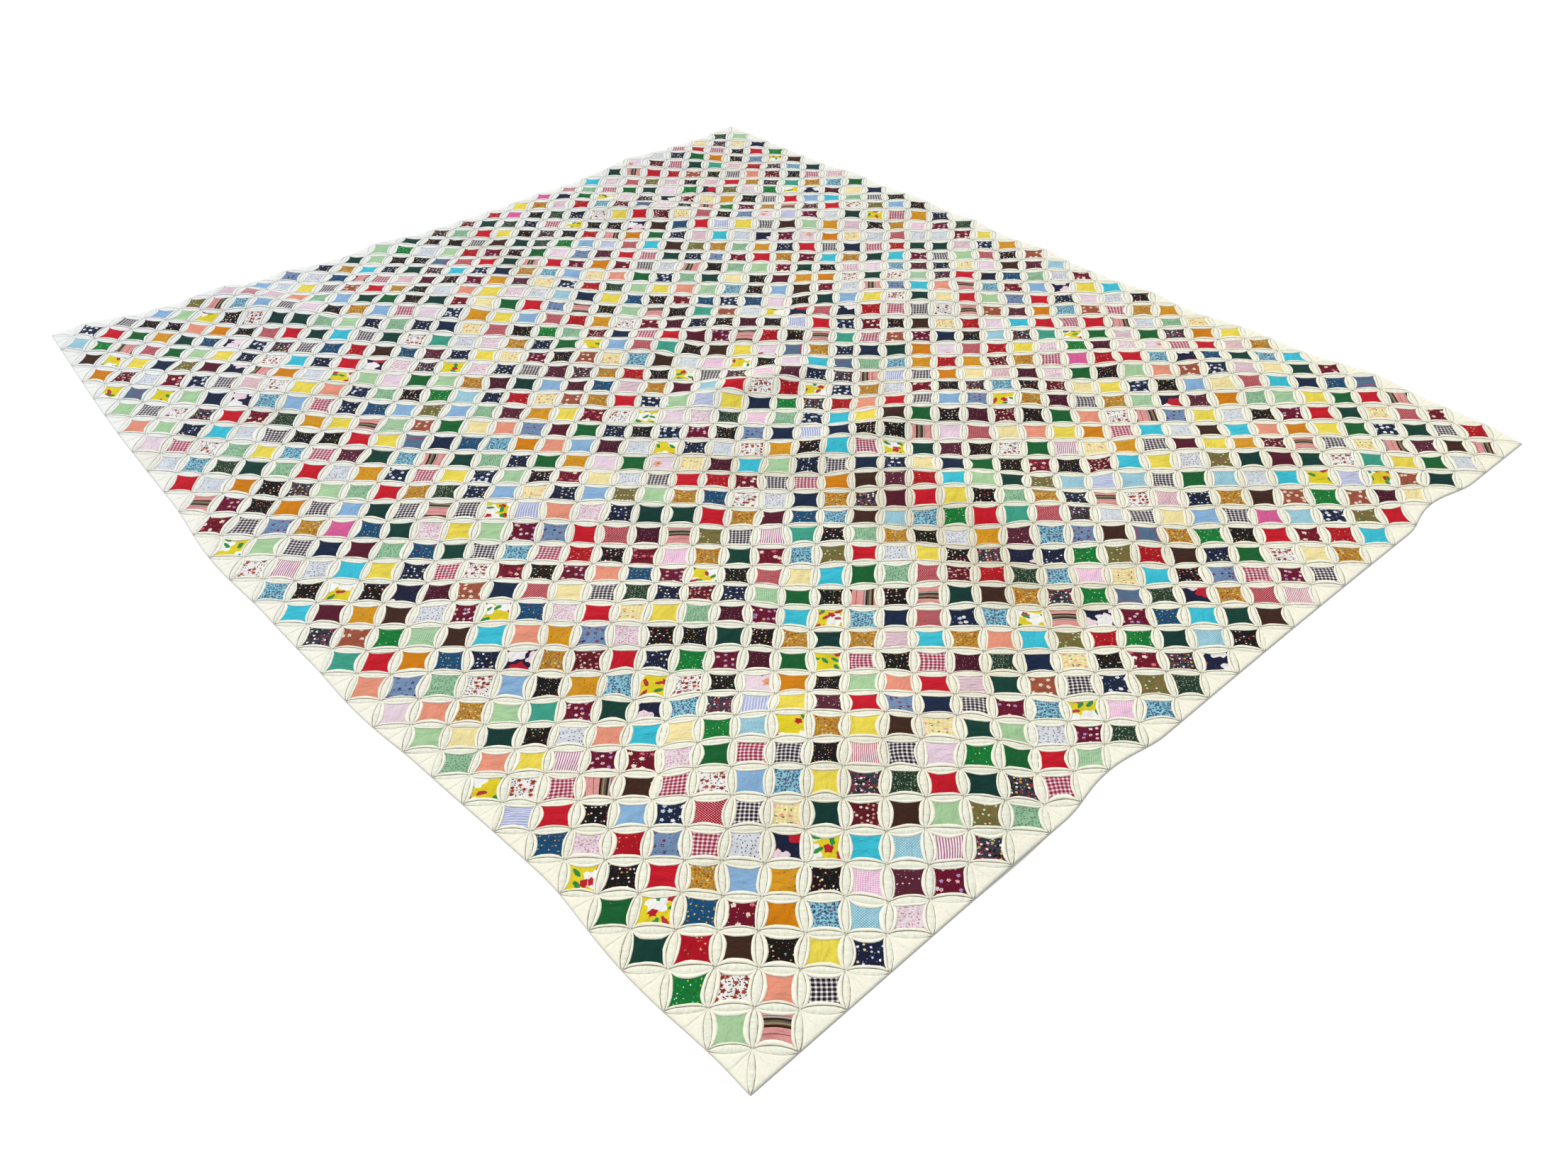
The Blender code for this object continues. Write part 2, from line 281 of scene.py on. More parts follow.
@dataclass
class Lay:
    """How the quilt lies on the floor, so that each place on it has its point in the room."""

    block: float = 0.076
    blocks_across: int = 25
    blocks_along: int = 30
    # Depths from the border, in blocks: what counts as on it, and how far in its waves reach.
    border_width: float = 0.1
    wave_depth: float = 1.5
    node_scatter: float = 0.0017
    unevenness: float = 0.0034
    seed: int = 11
    middle: np.ndarray = field(init=False)
    scatter: np.ndarray = field(init=False)
    ripple: np.ndarray = field(init=False)

    def __post_init__(self) -> None:
        """Draw the hand-made unevenness and find the middle of the outline's box."""
        random = np.random.default_rng(self.seed)
        halves = (2 * self.blocks_across + 1, 2 * self.blocks_along + 1)
        self.scatter = random.normal(0.0, self.node_scatter, (*halves, 2))
        self.scatter[[0, -1], :, 0] = 0.0
        self.scatter[:, [0, -1], 1] = 0.0
        stations = (self.blocks_across + 1, self.blocks_along + 1)
        self.ripple = random.uniform(0.0, self.unevenness, stations)
        self.ripple -= self.ripple.min()
        self.ripple[[0, -1], :] = 0.0
        self.ripple[:, [0, -1]] = 0.0
        self.middle = np.zeros(2)
        grid = self.flat_place(np.indices(halves).reshape(2, -1).T / 2)
        self.middle = (grid.min(0) + grid.max(0)) / 2

    def blocks(self) -> np.ndarray:
        """Give how many blocks the quilt has across and along."""
        return np.array([self.blocks_across, self.blocks_along])

    def inside(self, spots: np.ndarray) -> np.ndarray:
        """Tell which places lie off the border, by more than the border's own width."""
        width = self.border_width
        return np.all((spots > width) & (spots < self.blocks() - width), axis=-1)

    def wave(self, edge: str, place: np.ndarray, inward: np.ndarray) -> np.ndarray:
        """Read the waves of one edge.

        Args:
            edge: The edge's name.
            place: Blocks along the edge.
            inward: Blocks from the edge into the quilt.

        Returns:
            The metres by which each place is pushed out, which fade into the quilt.
        """
        rows = [row for row in WAVES if row.edge == edge]
        total = sum(row.out * bump(place - row.place, row.reach) for row in rows)
        return total * bump(inward, self.wave_depth) * MILLIMETRE

    def flat_place(self, spots: np.ndarray) -> np.ndarray:
        """Give the places on the floor, without the scatter of the nodes.

        Args:
            spots: A row of blocks across and blocks along for each place.

        Returns:
            One row of X and Y for each place.
        """
        across, along = spots.T
        right = self.wave("right", along, self.blocks_across - across)
        far = self.wave("far", across, self.blocks_along - along)
        shift_across = read_sheet(DRIFT_ACROSS, spots) + right
        shift_across = shift_across - self.wave("left", along, across)
        shift_along = read_sheet(DRIFT_ALONG, spots) + far
        shift_along = shift_along - self.wave("near", across, along)
        x = (self.blocks_along / 2 - along) * self.block - shift_along
        y = (across - self.blocks_across / 2) * self.block + shift_across
        return np.stack([x, y], axis=-1) - self.middle

    def ridge(self, fold: Fold, spots: np.ndarray) -> np.ndarray:
        """Read one fold or streak.

        Args:
            fold: The fold or streak.
            spots: Blocks across and blocks along, in the last axis.

        Returns:
            What it adds at each place, in its crest's unit.
        """
        run = np.array([fold.to_across - fold.from_across, fold.to_along - fold.from_along])
        length = float(np.hypot(*run))
        away = np.array([-run[1], run[0]]) / length
        if away.sum() < 0:
            away = -away
        offset = spots - np.array([fold.from_across, fold.from_along])
        part = offset @ run / length**2
        distance = offset @ away
        taper = np.where((part > 0) & (part < 1), 1 - np.abs(2 * part - 1) ** 3, 0.0)
        reach = np.where(distance > 0, fold.far, fold.near)
        return fold.crest * taper * bump(distance, reach)

    def underside(self, spots: np.ndarray) -> np.ndarray:
        """Give the height of the quilt's underside at each place."""
        ridges = (self.ridge(fold, spots) * MILLIMETRE for fold in FOLDS + CREASES)
        return sum(ridges, rounded_between(self.ripple, spots))

    def yellowed(self, spots: np.ndarray) -> np.ndarray:
        """Tell how far the muslin has yellowed at each place, from 0 to about 1."""
        return sum(self.ridge(streak, spots) for streak in YELLOWED)

    def place(self, spots: np.ndarray, height: np.ndarray | float) -> np.ndarray:
        """Turn places on the quilt into points in the room.

        Args:
            spots: Blocks across and blocks along, in the last axis.
            height: Height over the quilt's underside at each place.

        Returns:
            X, Y and Z in the last axis, for each place.
        """
        flat = spots.reshape(-1, 2)
        offset = rounded_between(self.scatter, flat * 2)[:, ::-1] * np.array([-1.0, 1.0])
        points = np.column_stack([self.flat_place(flat) + offset, self.underside(flat)])
        points = points.reshape(*spots.shape[:-1], 3)
        points[..., 2] += height
        return points


def read_numbers(
    items: bpy.types.bpy_prop_collection, name: str, width: int = 1, kind: type = float
) -> np.ndarray:
    """Read one property of all of a mesh's points, corners or faces.

    Args:
        items: The points, corners, faces or map places.
        name: The property's name.
        width: How many numbers the property has.
        kind: The type of these numbers.

    Returns:
        A number for each item, or a row of numbers where the width is over 1.
    """
    numbers = np.empty(len(items) * width, kind)
    items.foreach_get(name, numbers)
    return numbers.reshape(-1, width) if width > 1 else numbers


def write_numbers(
    items: bpy.types.bpy_prop_collection, name: str, numbers: np.ndarray, kind: type = np.float32
) -> None:
    """Write one property of all of a mesh's points, corners or faces.

    Args:
        items: The points, corners, faces or map places.
        name: The property's name.
        numbers: The numbers, in the items' order.
        kind: The type of these numbers.
    """
    items.foreach_set(name, numbers.astype(kind).ravel())


def write_attribute(data: Mesh, name: str, numbers: np.ndarray) -> None:
    """Give each of a mesh's points a number that its finish can read."""
    write_numbers(data.attributes.new(name, "FLOAT", "POINT").data, "value", numbers)


@dataclass(frozen=True)
class Shape:
    """One small shape that is modelled once and copied many times."""

    points: np.ndarray
    corner_points: np.ndarray
    corner_places: np.ndarray
    starts: np.ndarray

    @classmethod
    def from_grid(cls, grid: np.ndarray) -> "Shape":
        """Model the shape from a flat grid, bend it and merge the points that meet.

        Args:
            grid: The bent place of each of the grid's points, in its two directions.

        Returns:
            The finished shape, whose object is removed again.
        """
        long, wide = grid.shape[0] - 1, grid.shape[1] - 1
        bpy.ops.object.select_all(action="DESELECT")
        bpy.ops.mesh.primitive_grid_add(x_subdivisions=long, y_subdivisions=wide, size=1.0)
        made = bpy.context.object
        for vertex in made.data.vertices:
            step_long = round((vertex.co.x + 0.5) * long)
            step_wide = round((vertex.co.y + 0.5) * wide)
            vertex.co = grid[step_long, step_wide]
        bpy.ops.object.mode_set(mode="EDIT")
        bpy.ops.mesh.select_all(action="SELECT")
        bpy.ops.mesh.remove_doubles(threshold=1e-5)
        bpy.ops.object.mode_set(mode="OBJECT")
        data = made.data
        shape = cls(
            read_numbers(data.vertices, "co", 3),
            read_numbers(data.loops, "vertex_index", kind=np.int32),
            read_numbers(data.uv_layers[0].uv, "vector", 2),
            read_numbers(data.polygons, "loop_start", kind=np.int32),
        )
        bpy.data.objects.remove(made)
        bpy.data.meshes.remove(data)
        return shape

    def atlas(self, copies: int, margin: float = 0.04) -> np.ndarray:
        """Lay the copies of the shape side by side in a square, for the bake.

        Args:
            copies: How many copies there are.
            margin: The share of each cell that stays free on each side.

        Returns:
            Two numbers for each corner of each copy.
        """
        cells = math.ceil(math.sqrt(copies))
        number = np.arange(copies)
        corner = np.stack([number % cells, number // cells], axis=-1)[:, None, :]
        inner = margin + (1 - 2 * margin) * self.corner_places
        return (corner + inner) / cells


def joined_copies(
    name: str,
    shape: Shape,
    placed: tuple[Lay, np.ndarray, np.ndarray],
    yardage: np.ndarray,
    finishes: list[Material],
    fold_depth: np.ndarray | None = None,
) -> Object:
    """Join the copies of a shape in one mesh.

    Args:
        name: Name of the piece.
        shape: The shape that is copied.
        placed: How the quilt lies, and for each point of each copy its place in blocks and its
            height over the quilt's underside.
        yardage: For each copy, the place on the cloth of each of its face corners, in metres.
        finishes: The cloth's materials.
        fold_depth: How much painted shade each point of muslin takes, from 0 to 1, for the shade in
            its folds; either for one copy or for each of them.

    Returns:
        The new object, shaded smooth, at the origin.
    """
    lay, spots, heights = placed
    copies, per_copy = spots.shape[:2]
    number = np.arange(copies)[:, None]
    corners = shape.corner_points + number * per_copy
    starts = shape.starts + number * len(shape.corner_points)
    data = bpy.data.meshes.new(name)
    data.vertices.add(copies * per_copy)
    write_numbers(data.vertices, "co", lay.place(spots, heights))
    data.loops.add(corners.size)
    write_numbers(data.loops, "vertex_index", corners, np.int32)
    data.polygons.add(starts.size)
    write_numbers(data.polygons, "loop_start", starts, np.int32)
    for layer_name, places in ((YARDAGE, yardage), (BAKE_MAP, shape.atlas(copies))):
        write_numbers(data.uv_layers.new(name=layer_name).uv, "vector", places)
    if fold_depth is not None:
        write_attribute(data, CREASE_SHADE_ATTRIBUTE, np.broadcast_to(fold_depth, (copies, per_copy)))
        write_attribute(data, AGE_ATTRIBUTE, lay.yellowed(spots))
    data.update(calc_edges=True)
    data.validate()
    data.shade_smooth()
    for finish in finishes:
        data.materials.append(finish)
    made = bpy.data.objects.new(name, data)
    bpy.context.scene.collection.objects.link(made)
    return made


def left_of(directions: np.ndarray) -> np.ndarray:
    """Give the unit directions that point to the left of these, on the quilt."""
    turned = np.stack([-directions[..., 1], directions[..., 0]], axis=-1)
    return turned / np.linalg.norm(turned, axis=-1, keepdims=True)


@dataclass
class Petals:
    """The petals' places and widths: one from each block's centre to each of its corners."""

    lay: Lay
    lens_half_width: float = 0.0049
    lens_share: float = 0.50
    lens_bluntness: float = 0.65
    rim_bluntness: float = 0.50
    width_spread: float = 0.11
    bow_spread: float = 0.0006
    # Painted crease shade is weaker on a petal's near side, where the rim hides its crease from view,
    # and strongest on its far side, where the rim shades it: its share on the near side, on either
    # flank and on the far side.
    crease_shade_by_side: tuple[float, ...] = (0.62, 0.92, 1.0)
    seed: int = 23
    starts: np.ndarray = field(init=False)
    directions: np.ndarray = field(init=False)
    lens: np.ndarray = field(init=False)
    reach: np.ndarray = field(init=False)
    bow: np.ndarray = field(init=False)

    def __post_init__(self) -> None:
        """Lay out the petals and draw each one's width and bow."""
        random = np.random.default_rng(self.seed)
        across, along = (np.arange(count) + 0.5 for count in self.lay.blocks())
        ways = (-0.5, 0.5)
        table = np.stack(np.meshgrid(across, along, ways, ways, indexing="ij"), axis=-1).reshape(-1, 4)
        self.starts = table[:, :2]
        self.directions = table[:, 2:]
        count = len(table)
        middles = self.starts + self.directions / 2
        reach = read_sheet(PETAL_REACH, middles)[:, None]
        self.reach = reach * (1 + random.normal(0, self.width_spread, (count, 2)))
        spread = 1 + random.normal(0, self.width_spread, (count, 2))
        self.lens = self.lens_share * reach * spread
        self.lens[~self.faces_window()] = self.lens_half_width
        self.bow = random.normal(0, self.bow_spread, count)

    def side(self, right: int) -> tuple[np.ndarray, np.ndarray]:
        """Give starts and directions with one side of each petal on their left.

        Args:
            right: 0 for the petal's left side, 1 for its right side, which is run backwards.

        Returns:
            The starts and the directions, a row for each petal.
        """
        if right:
            return self.starts + self.directions, -self.directions
        return self.starts, self.directions

    def faces_window(self) -> np.ndarray:
        """Find the sides of the petals where whole windows lie.

        Returns:
            For each petal and side, whether a whole window lies there and not a half one.
        """
        found = []
        for right in (0, 1):
            starts, directions = self.side(right)
            half = np.linalg.norm(directions, axis=1, keepdims=True) / 2
            centres = starts + directions / 2 + left_of(directions) * half
            found.append(self.lay.inside(centres))
        return np.stack(found, axis=1)

    def fullness(self, part: np.ndarray) -> np.ndarray:
        """Give 0 at a petal's tips and 1 at its middle."""
        return np.clip(4 * part * (1 - part), 0.0, 1.0)

    def room(self, part: np.ndarray) -> np.ndarray:
        """Give the metres from a petal's middle line to where the next petal's half begins."""
        return self.length() * np.minimum(part, 1 - part)

    def crease_shade_on_side(self, right: int) -> np.ndarray:
        """Tell how much painted shade the crease along one side, 0 for the left, of each petal takes.
        """
        away = left_of(self.side(right)[1]) @ np.full(2, math.sqrt(0.5))
        return np.interp(away, (-1.0, 0.0, 1.0), self.crease_shade_by_side)

    def length(self) -> float:
        """Give a petal's length from node to node."""
        return self.lay.block * math.sqrt(0.5)


@dataclass
class RolledRims:
    """The muslin edges that are rolled over the patches and stitched down."""

    petals: Petals
    muslin: Material
    stations: tuple[float, ...] = (0.0, 0.07, 0.15, 0.25, 0.37, 0.5, 0.63, 0.75, 0.85, 0.93, 1.0)
    floor: float = 0.0018
    height: float = 0.0013
    height_at_tips: float = 0.55
    height_bluntness: float = 0.6
    height_spread: float = 0.08
    # Both ends are drawn to a point, a small share of the way before the node.
    tip_gap: float = 0.012
    edge_spread: float = 0.00011
    wobble: float = 0.00042
    wobble_bluntness: float = 0.5
    # The hand-sewn edge wavers: turns along a rim, and share of the wobble.
    wavers: tuple[tuple[float, float], ...] = ((1.3, 1.0), (2.3, 0.5))
    pieces: tuple[str, ...] = ("near", "middle", "far")
    crease_fade: float = 0.32
    seed: int = 31
    # Round the roll: share of the way from the crease to the outer edge, height, and share of painted
    # crease shade, which stands in for the shade in the crease and under the outer edge.
    ring: tuple[tuple[float, float, float], ...] = (
        (0.02, -0.15, 1.0), (0.14, 0.70, 0.35), (0.55, 1.00, 0.0), (0.95, 0.75, 0.0),
        (1.00, -0.15, 0.8),
    )
    # The same three for the point at either end.
    tip: tuple[float, float, float] = (0.40, 0.40, 0.6)

    def shape(self) -> Shape:
        """Model one rim, a grid rolled into a tube that is drawn to a point at both ends.

        Returns:
            The rim, with the way along it, the share of its width and its height for X, Y and Z.
        """
        around = [section[:2] for section in (*self.ring, self.ring[0])]
        grid = np.array([[(station, *section) for section in around] for station in self.stations])
        grid[[0, -1], :, 1:] = self.tip[:2]
        return Shape.from_grid(grid)

    def station(self, shape: Shape) -> np.ndarray:
        """Give the number of the station at which each point of one rim stands."""
        return np.abs(shape.points[:, :1] - np.array(self.stations)).argmin(axis=1)

    def fold_depth(self, shape: Shape) -> np.ndarray:
        """Give how much painted crease shade each point of one rim takes.

        Args:
            shape: The rim.

        Returns:
            A number from 0 to 1 for each point.
        """
        depths = {(share, height): depth for share, height, depth in self.ring}
        places = shape.points.round(2)[:, 1:].tolist()
        return np.array([depths.get(tuple(place), self.tip[2]) for place in places])

    def lay_out(self, shape: Shape, random: np.random.Generator) -> Iterator[tuple[np.ndarray, ...]]:
        """Lay a rim along each petal's side that faces a window, first all left sides.

        Args:
            shape: The rim.
            random: Where the rims' chances come from.

        Yields:
            For one side of all petals, the rims' starts, their share of painted crease shade, the
            points' places and heights.
        """
        part, share, rise = shape.points.T
        station = self.station(shape)
        petals = self.petals
        full = petals.fullness(part)
        level = self.height_at_tips + (1 - self.height_at_tips) * full**self.height_bluntness
        run = self.tip_gap + (1 - 2 * self.tip_gap) * part
        for right in (0, 1):
            chosen = petals.faces_window()[:, right]
            starts, directions = (rows[chosen] for rows in petals.side(right))
            size = (len(starts), len(self.stations))
            inner = petals.lens[chosen, right, None] * full**petals.lens_bluntness
            outer = petals.reach[chosen, right, None] * full**petals.rim_bluntness
            phase = random.uniform(0, 2 * math.pi, (len(starts), len(self.wavers)))
            waver = sum(
                swing * np.sin(2 * math.pi * turns * part + phase[:, [number]])
                for number, (turns, swing) in enumerate(self.wavers)
            )
            ragged = random.normal(0, self.edge_spread, size)
            loose = (self.wobble * waver + ragged[:, station]) * share
            loose = loose * full**self.wobble_bluntness
            bow = (-1.0 if right else 1.0) * petals.bow[chosen, None] * full
            distance = inner + share * (outer - inner) + loose + bow
            distance = np.minimum(distance, petals.room(run)) / petals.lay.block
            spots = starts[:, None] + directions[:, None] * run[None, :, None]
            spots = spots + left_of(directions)[:, None] * distance[..., None]
            lift = 1 + random.normal(0, self.height_spread, size)
            heights = self.floor + self.height * rise * (lift[:, station] * level)
            yield starts, petals.crease_shade_on_side(right)[chosen], spots, heights

    def build(self) -> list[Object]:
        """Lay a rim along each side of each petal that faces a window.

        Returns:
            The pieces, each with the rims of a third of the quilt.
        """
        shape = self.shape()
        random = np.random.default_rng(self.seed)
        sides = zip(*self.lay_out(shape, random))
        starts, shade_on_side, spots, heights = (np.concatenate(rows) for rows in sides)
        station = self.station(shape)
        order = np.argsort(starts[:, 1], kind="stable")
        made = []
        for third, chosen in zip(self.pieces, np.array_split(order, len(self.pieces))):
            # Painted crease shade: brown lines along each rim's crease and outer edge stand in for the
            # shade there; they are faded at random, and weaker on a petal's near side.
            fade = random.uniform(0, self.crease_fade, (len(chosen), len(self.stations)))
            depth = self.fold_depth(shape) * (1 - fade[:, station]) * shade_on_side[chosen, None]
            cloth = shape.corner_places * np.array([self.petals.length(), 4 * self.height])
            cloth = cloth + random.uniform(0, 1, (len(chosen), 1, 2))
            placed = (self.petals.lay, spots[chosen], heights[chosen])
            name = f"rolled_rims_{third}"
            made.append(joined_copies(name, shape, placed, cloth, [self.muslin], depth))
        return made


@dataclass
class PetalLenses:
    """The slim muslin lenses between the two rims of each petal, a little puffed."""

    petals: Petals
    muslin: Material
    steps: int = 8
    floor: float = 0.0018
    height: float = 0.0010
    height_at_tips: float = 0.35
    height_bluntness: float = 0.5
    height_spread: float = 0.15
    tip_gap: float = 0.03
    tip_height: float = 0.3
    # Share of painted crease shade at the lens's tips, where the creases meet at the node.
    tip_depth: float = 0.5
    ruffle: float = 0.00020
    ruffled_over: float = 0.5
    crease_fade: float = 0.32
    seed: int = 41
    # Across the lens: share of its half width, and height.
    section: tuple[tuple[float, float], ...] = (
        (-1.08, -0.15), (-0.62, 0.92), (0.62, 0.92), (1.08, -0.15),
    )

    def shape(self) -> Shape:
        """Model one lens, a narrow grid drawn to a point at both ends.

        Returns:
            The lens, with the way along it, the share of its width and its height for X, Y and Z.
        """
        ways = np.arange(self.steps + 1) / self.steps
        grid = np.array([[(way, *place) for place in self.section] for way in ways])
        grid[[0, -1], :, 1:] = (0.0, self.tip_height)
        return Shape.from_grid(grid)

    def build(self) -> Object:
        """Lay a lens down the middle of each petal.

        Returns:
            The piece with all the lenses.
        """
        shape = self.shape()
        part, share, rise = shape.points.T
        petals = self.petals
        random = np.random.default_rng(self.seed)
        full = petals.fullness(part)
        half = np.where(share > 0, petals.lens[:, :1], petals.lens[:, 1:])
        distance = share * half * full**petals.lens_bluntness + petals.bow[:, None] * full
        run = self.tip_gap + (1 - 2 * self.tip_gap) * part
        spots = petals.starts[:, None] + petals.directions[:, None] * run[None, :, None]
        normal = left_of(petals.directions)[:, None]
        spots = spots + normal * (distance / petals.lay.block)[..., None]
        count = len(spots)
        lift = 1 + random.normal(0, self.height_spread, (count, 1))
        level = self.height_at_tips + (1 - self.height_at_tips) * full**self.height_bluntness
        ruffle = random.normal(0, self.ruffle, (count, len(part)))
        ruffle = ruffle * (rise > self.ruffled_over)
        heights = self.floor + self.height * rise * lift * level + ruffle
        cloth = shape.corner_places * np.array([petals.length(), 2 * petals.lens_half_width])
        cloth = cloth + random.uniform(0, 1, (count, 1, 2))
        # Painted crease shade along both edges of each lens and at its tips, weaker on a petal's near
        # side.
        left, right = (petals.crease_shade_on_side(side)[:, None] for side in (0, 1))
        depth = np.where(share > 1, left, np.where(share < -1, right, 0.0))
        depth = np.where(share == 0.0, self.tip_depth, depth)
        depth = depth * (1 - random.uniform(0, self.crease_fade, (count, len(part))))
        placed = (petals.lay, spots, heights)
        return joined_copies("petal_lenses", shape, placed, cloth, [self.muslin], depth)


@dataclass
class BorderFlaps:
    """The plain muslin half windows round the quilt's border, each with a seam down it."""

    petals: Petals
    muslin: Material
    floor: float = 0.0015
    height: float = 0.0010
    height_spread: float = 0.10
    edge: float = 0.010
    ruffle: float = 0.00010
    fan: float = 0.00022
    fan_bluntness: float = 1.2
    # Where its ruffles and its fan of wrinkles begin, in shares of its height.
    ruffled_over: float = 0.7
    fanned_over: float = 0.6
    seed: int = 53
    # Along the border: share of the way, and height, which dips at the seam in the middle.
    width_steps: tuple[tuple[float, float], ...] = (
        (0.0, 0.25), (0.03, 0.85), (0.11, 1.0), (0.20, 1.0), (0.30, 1.0), (0.40, 1.0),
        (0.485, 1.0), (0.50, 0.45), (0.515, 0.95), (0.60, 1.0), (0.70, 1.0), (0.80, 1.0),
        (0.89, 1.0), (0.97, 0.85), (1.0, 0.25),
    )
    # From the border to the block's centre: share of the way, and height.
    depth_steps: tuple[tuple[float, float], ...] = (
        (0.0, -0.8), (0.03, 0.0), (0.15, 0.7), (0.35, 1.0), (0.55, 1.0), (0.75, 0.95),
        (0.90, 0.8), (1.0, 0.6),
    )

    def shape(self) -> Shape:
        """Model one flap, a grid that narrows to a point at the block's centre.

        Returns:
            The flap, with the way along the border, the way inwards and its height for X, Y and Z.
        """
        rows = [
            [(way, depth, min(height * level, level)) for depth, level in self.depth_steps]
            for way, height in self.width_steps
        ]
        grid = np.array(rows)
        grid[:, -1] = (0.5, *self.depth_steps[-1])
        return Shape.from_grid(grid)

    def corners(self) -> Iterator[tuple[tuple[float, float], ...]]:
        """Give each flap's first and second border corner and its block's centre in turn.

        Yields:
            Three places on the quilt, in blocks.
        """
        last_across, last_along = self.petals.lay.blocks()
        for across in range(last_across):
            centre = across + 0.5
            yield (across, 0), (across + 1, 0), (centre, 0.5)
            yield (across + 1, last_along), (across, last_along), (centre, last_along - 0.5)
        for along in range(last_along):
            centre = along + 0.5
            yield (0, along + 1), (0, along), (0.5, centre)
            yield (last_across, along), (last_across, along + 1), (last_across - 0.5, centre)

    def build(self) -> Object:
        """Lay a flap in each half window.

        Returns:
            The piece with all the flaps.
        """
        shape = self.shape()
        way, depth, rise = shape.points.T
        first, second, centre = np.array(list(self.corners())).transpose(1, 0, 2)
        petals = self.petals
        offset = petals.lens_half_width / petals.lay.block
        offset = offset * petals.fullness(depth)[:, None] ** petals.lens_bluntness
        run = (self.edge + (1 - self.edge) * depth)[None, :, None]
        sides = []
        for corner, out in ((first, first - centre), (second, centre - second)):
            side = (corner - centre)[:, None] * (1 - run) + centre[:, None]
            sides.append(side + left_of(out)[:, None] * offset)
        spots = sides[0] * (1 - way[:, None]) + sides[1] * way[:, None]
        random = np.random.default_rng(self.seed)
        lift = 1 + random.normal(0, self.height_spread, (len(spots), 1))
        soft = random.normal(0, self.ruffle, (len(spots), len(way)))
        soft = soft * (rise > self.ruffled_over)
        # Small wrinkles fan out from the stitched point at the block's centre.
        column = np.unique(way.round(3), return_inverse=True)[1]
        fan = random.normal(0, self.fan, (len(spots), column.max() + 1))[:, column]
        soft = soft + fan * depth**self.fan_bluntness * (rise > self.fanned_over)
        placed = (petals.lay, spots, self.floor + self.height * rise * lift + soft)
        cloth = spots[:, shape.corner_points] * petals.lay.block
        # Painted crease shade along both sides of the flap, where it meets the petals.
        crease = np.isin(way, (0.0, 1.0)).astype(float)
        return joined_copies("border_flaps", shape, placed, cloth, [self.muslin], crease)


@dataclass
class MuslinGround:
    """The sheet of joined muslin blocks under everything else."""

    lay: Lay
    muslin: Material
    faces_per_block: int = 6
    thickness: float = 0.0017
    border_share: float = 0.45
    edge_roll: float = 0.0008
    edge_segments: int = 3
    edge_angle: float = 45.0
    bake_margin: float = 0.01

    def build(self) -> Object:
        """Model the sheet on the quilt's folds.

        Returns:
            The sheet, as thick as the folded blocks.
        """
        blocks = self.lay.blocks()
        wide, long = (blocks * self.faces_per_block).tolist()
        bpy.ops.object.select_all(action="DESELECT")
        bpy.ops.mesh.primitive_grid_add(x_subdivisions=long, y_subdivisions=wide, size=1.0)
        sheet = bpy.context.object
        sheet.name = "muslin_ground"
        data = sheet.data
        data.name = sheet.name
        points = read_numbers(data.vertices, "co", 3)
        spots = np.stack([points[:, 1] + 0.5, 0.5 - points[:, 0]], axis=-1) * blocks
        border = ~self.lay.inside(spots)
        thinner = sheet.vertex_groups.new(name="thickness")
        for chosen, share in ((~border, 1.0), (border, self.border_share)):
            thinner.add(np.flatnonzero(chosen).tolist(), share, "REPLACE")
        height = self.thickness * np.where(border, self.border_share, 1.0)
        write_numbers(data.vertices, "co", self.lay.place(spots, height))
        write_attribute(data, AGE_ATTRIBUTE, self.lay.yellowed(spots))
        corners = read_numbers(data.loops, "vertex_index", kind=np.int32)
        data.uv_layers[0].name = YARDAGE
        write_numbers(data.uv_layers[YARDAGE].uv, "vector", spots[corners] * self.lay.block)
        body = sheet.modifiers.new("Solidify", "SOLIDIFY")
        body.thickness = self.thickness
        body.vertex_group = thinner.name
        body.offset = -1.0
        body.use_even_offset = False
        bpy.ops.object.modifier_apply(modifier=body.name)
        edge = sheet.modifiers.new("Bevel", "BEVEL")
        edge.width = self.edge_roll
        edge.segments = self.edge_segments
        edge.limit_method = "ANGLE"
        edge.angle_limit = math.radians(self.edge_angle)
        bpy.ops.object.modifier_apply(modifier=edge.name)
        self.lay_out_for_bake(data)
        data.shade_smooth()
        data.materials.append(self.muslin)
        return sheet

    def lay_out_for_bake(self, data: Mesh) -> None:
        """Give the face and the back of the sheet each one half of the bake's map.

        Args:
            data: The finished sheet's mesh.
        """
        cloth = read_numbers(data.uv_layers[YARDAGE].uv, "vector", 2)
        shares = cloth / (self.lay.blocks() * self.lay.block)
        down = read_numbers(data.polygons, "normal", 3)[:, 2] < 0
        back = np.repeat(down, read_numbers(data.polygons, "loop_total", kind=np.int32))
        inner = self.bake_margin + (1 - 2 * self.bake_margin) * shares
        inner[:, 0] = (inner[:, 0] + back) / 2
        write_numbers(data.uv_layers.new(name=BAKE_MAP).uv, "vector", inner)


class Motif(Enum):
    """What a layer of a fabric's print is made of; each value names the method that draws it."""

    CHECK = "check"
    STRIPE = "stripe"
    DOT = "dot"
    FLOWER = "flower"
    LEAF = "leaf"
    SPECK = "speck"
    VINE = "vine"


class Print(NamedTuple):
    """One layer of a print.

    It has a motif, its colours, its repeat in mm, its size in repeats, the share of its places
    that are filled, its turn in degrees and the colour of its heart.
    """

    motif: Motif
    colours: str
    repeat: float
    size: float
    share: float = 1.0
    turn: float = 0.0
    centre: str = ""


class Fabric(NamedTuple):
    """A patch fabric: its name, the piece it is part of, how common it is, its ground and print."""

    name: str
    piece: str
    weight: int
    ground: str
    layers: tuple[Print, ...] = ()


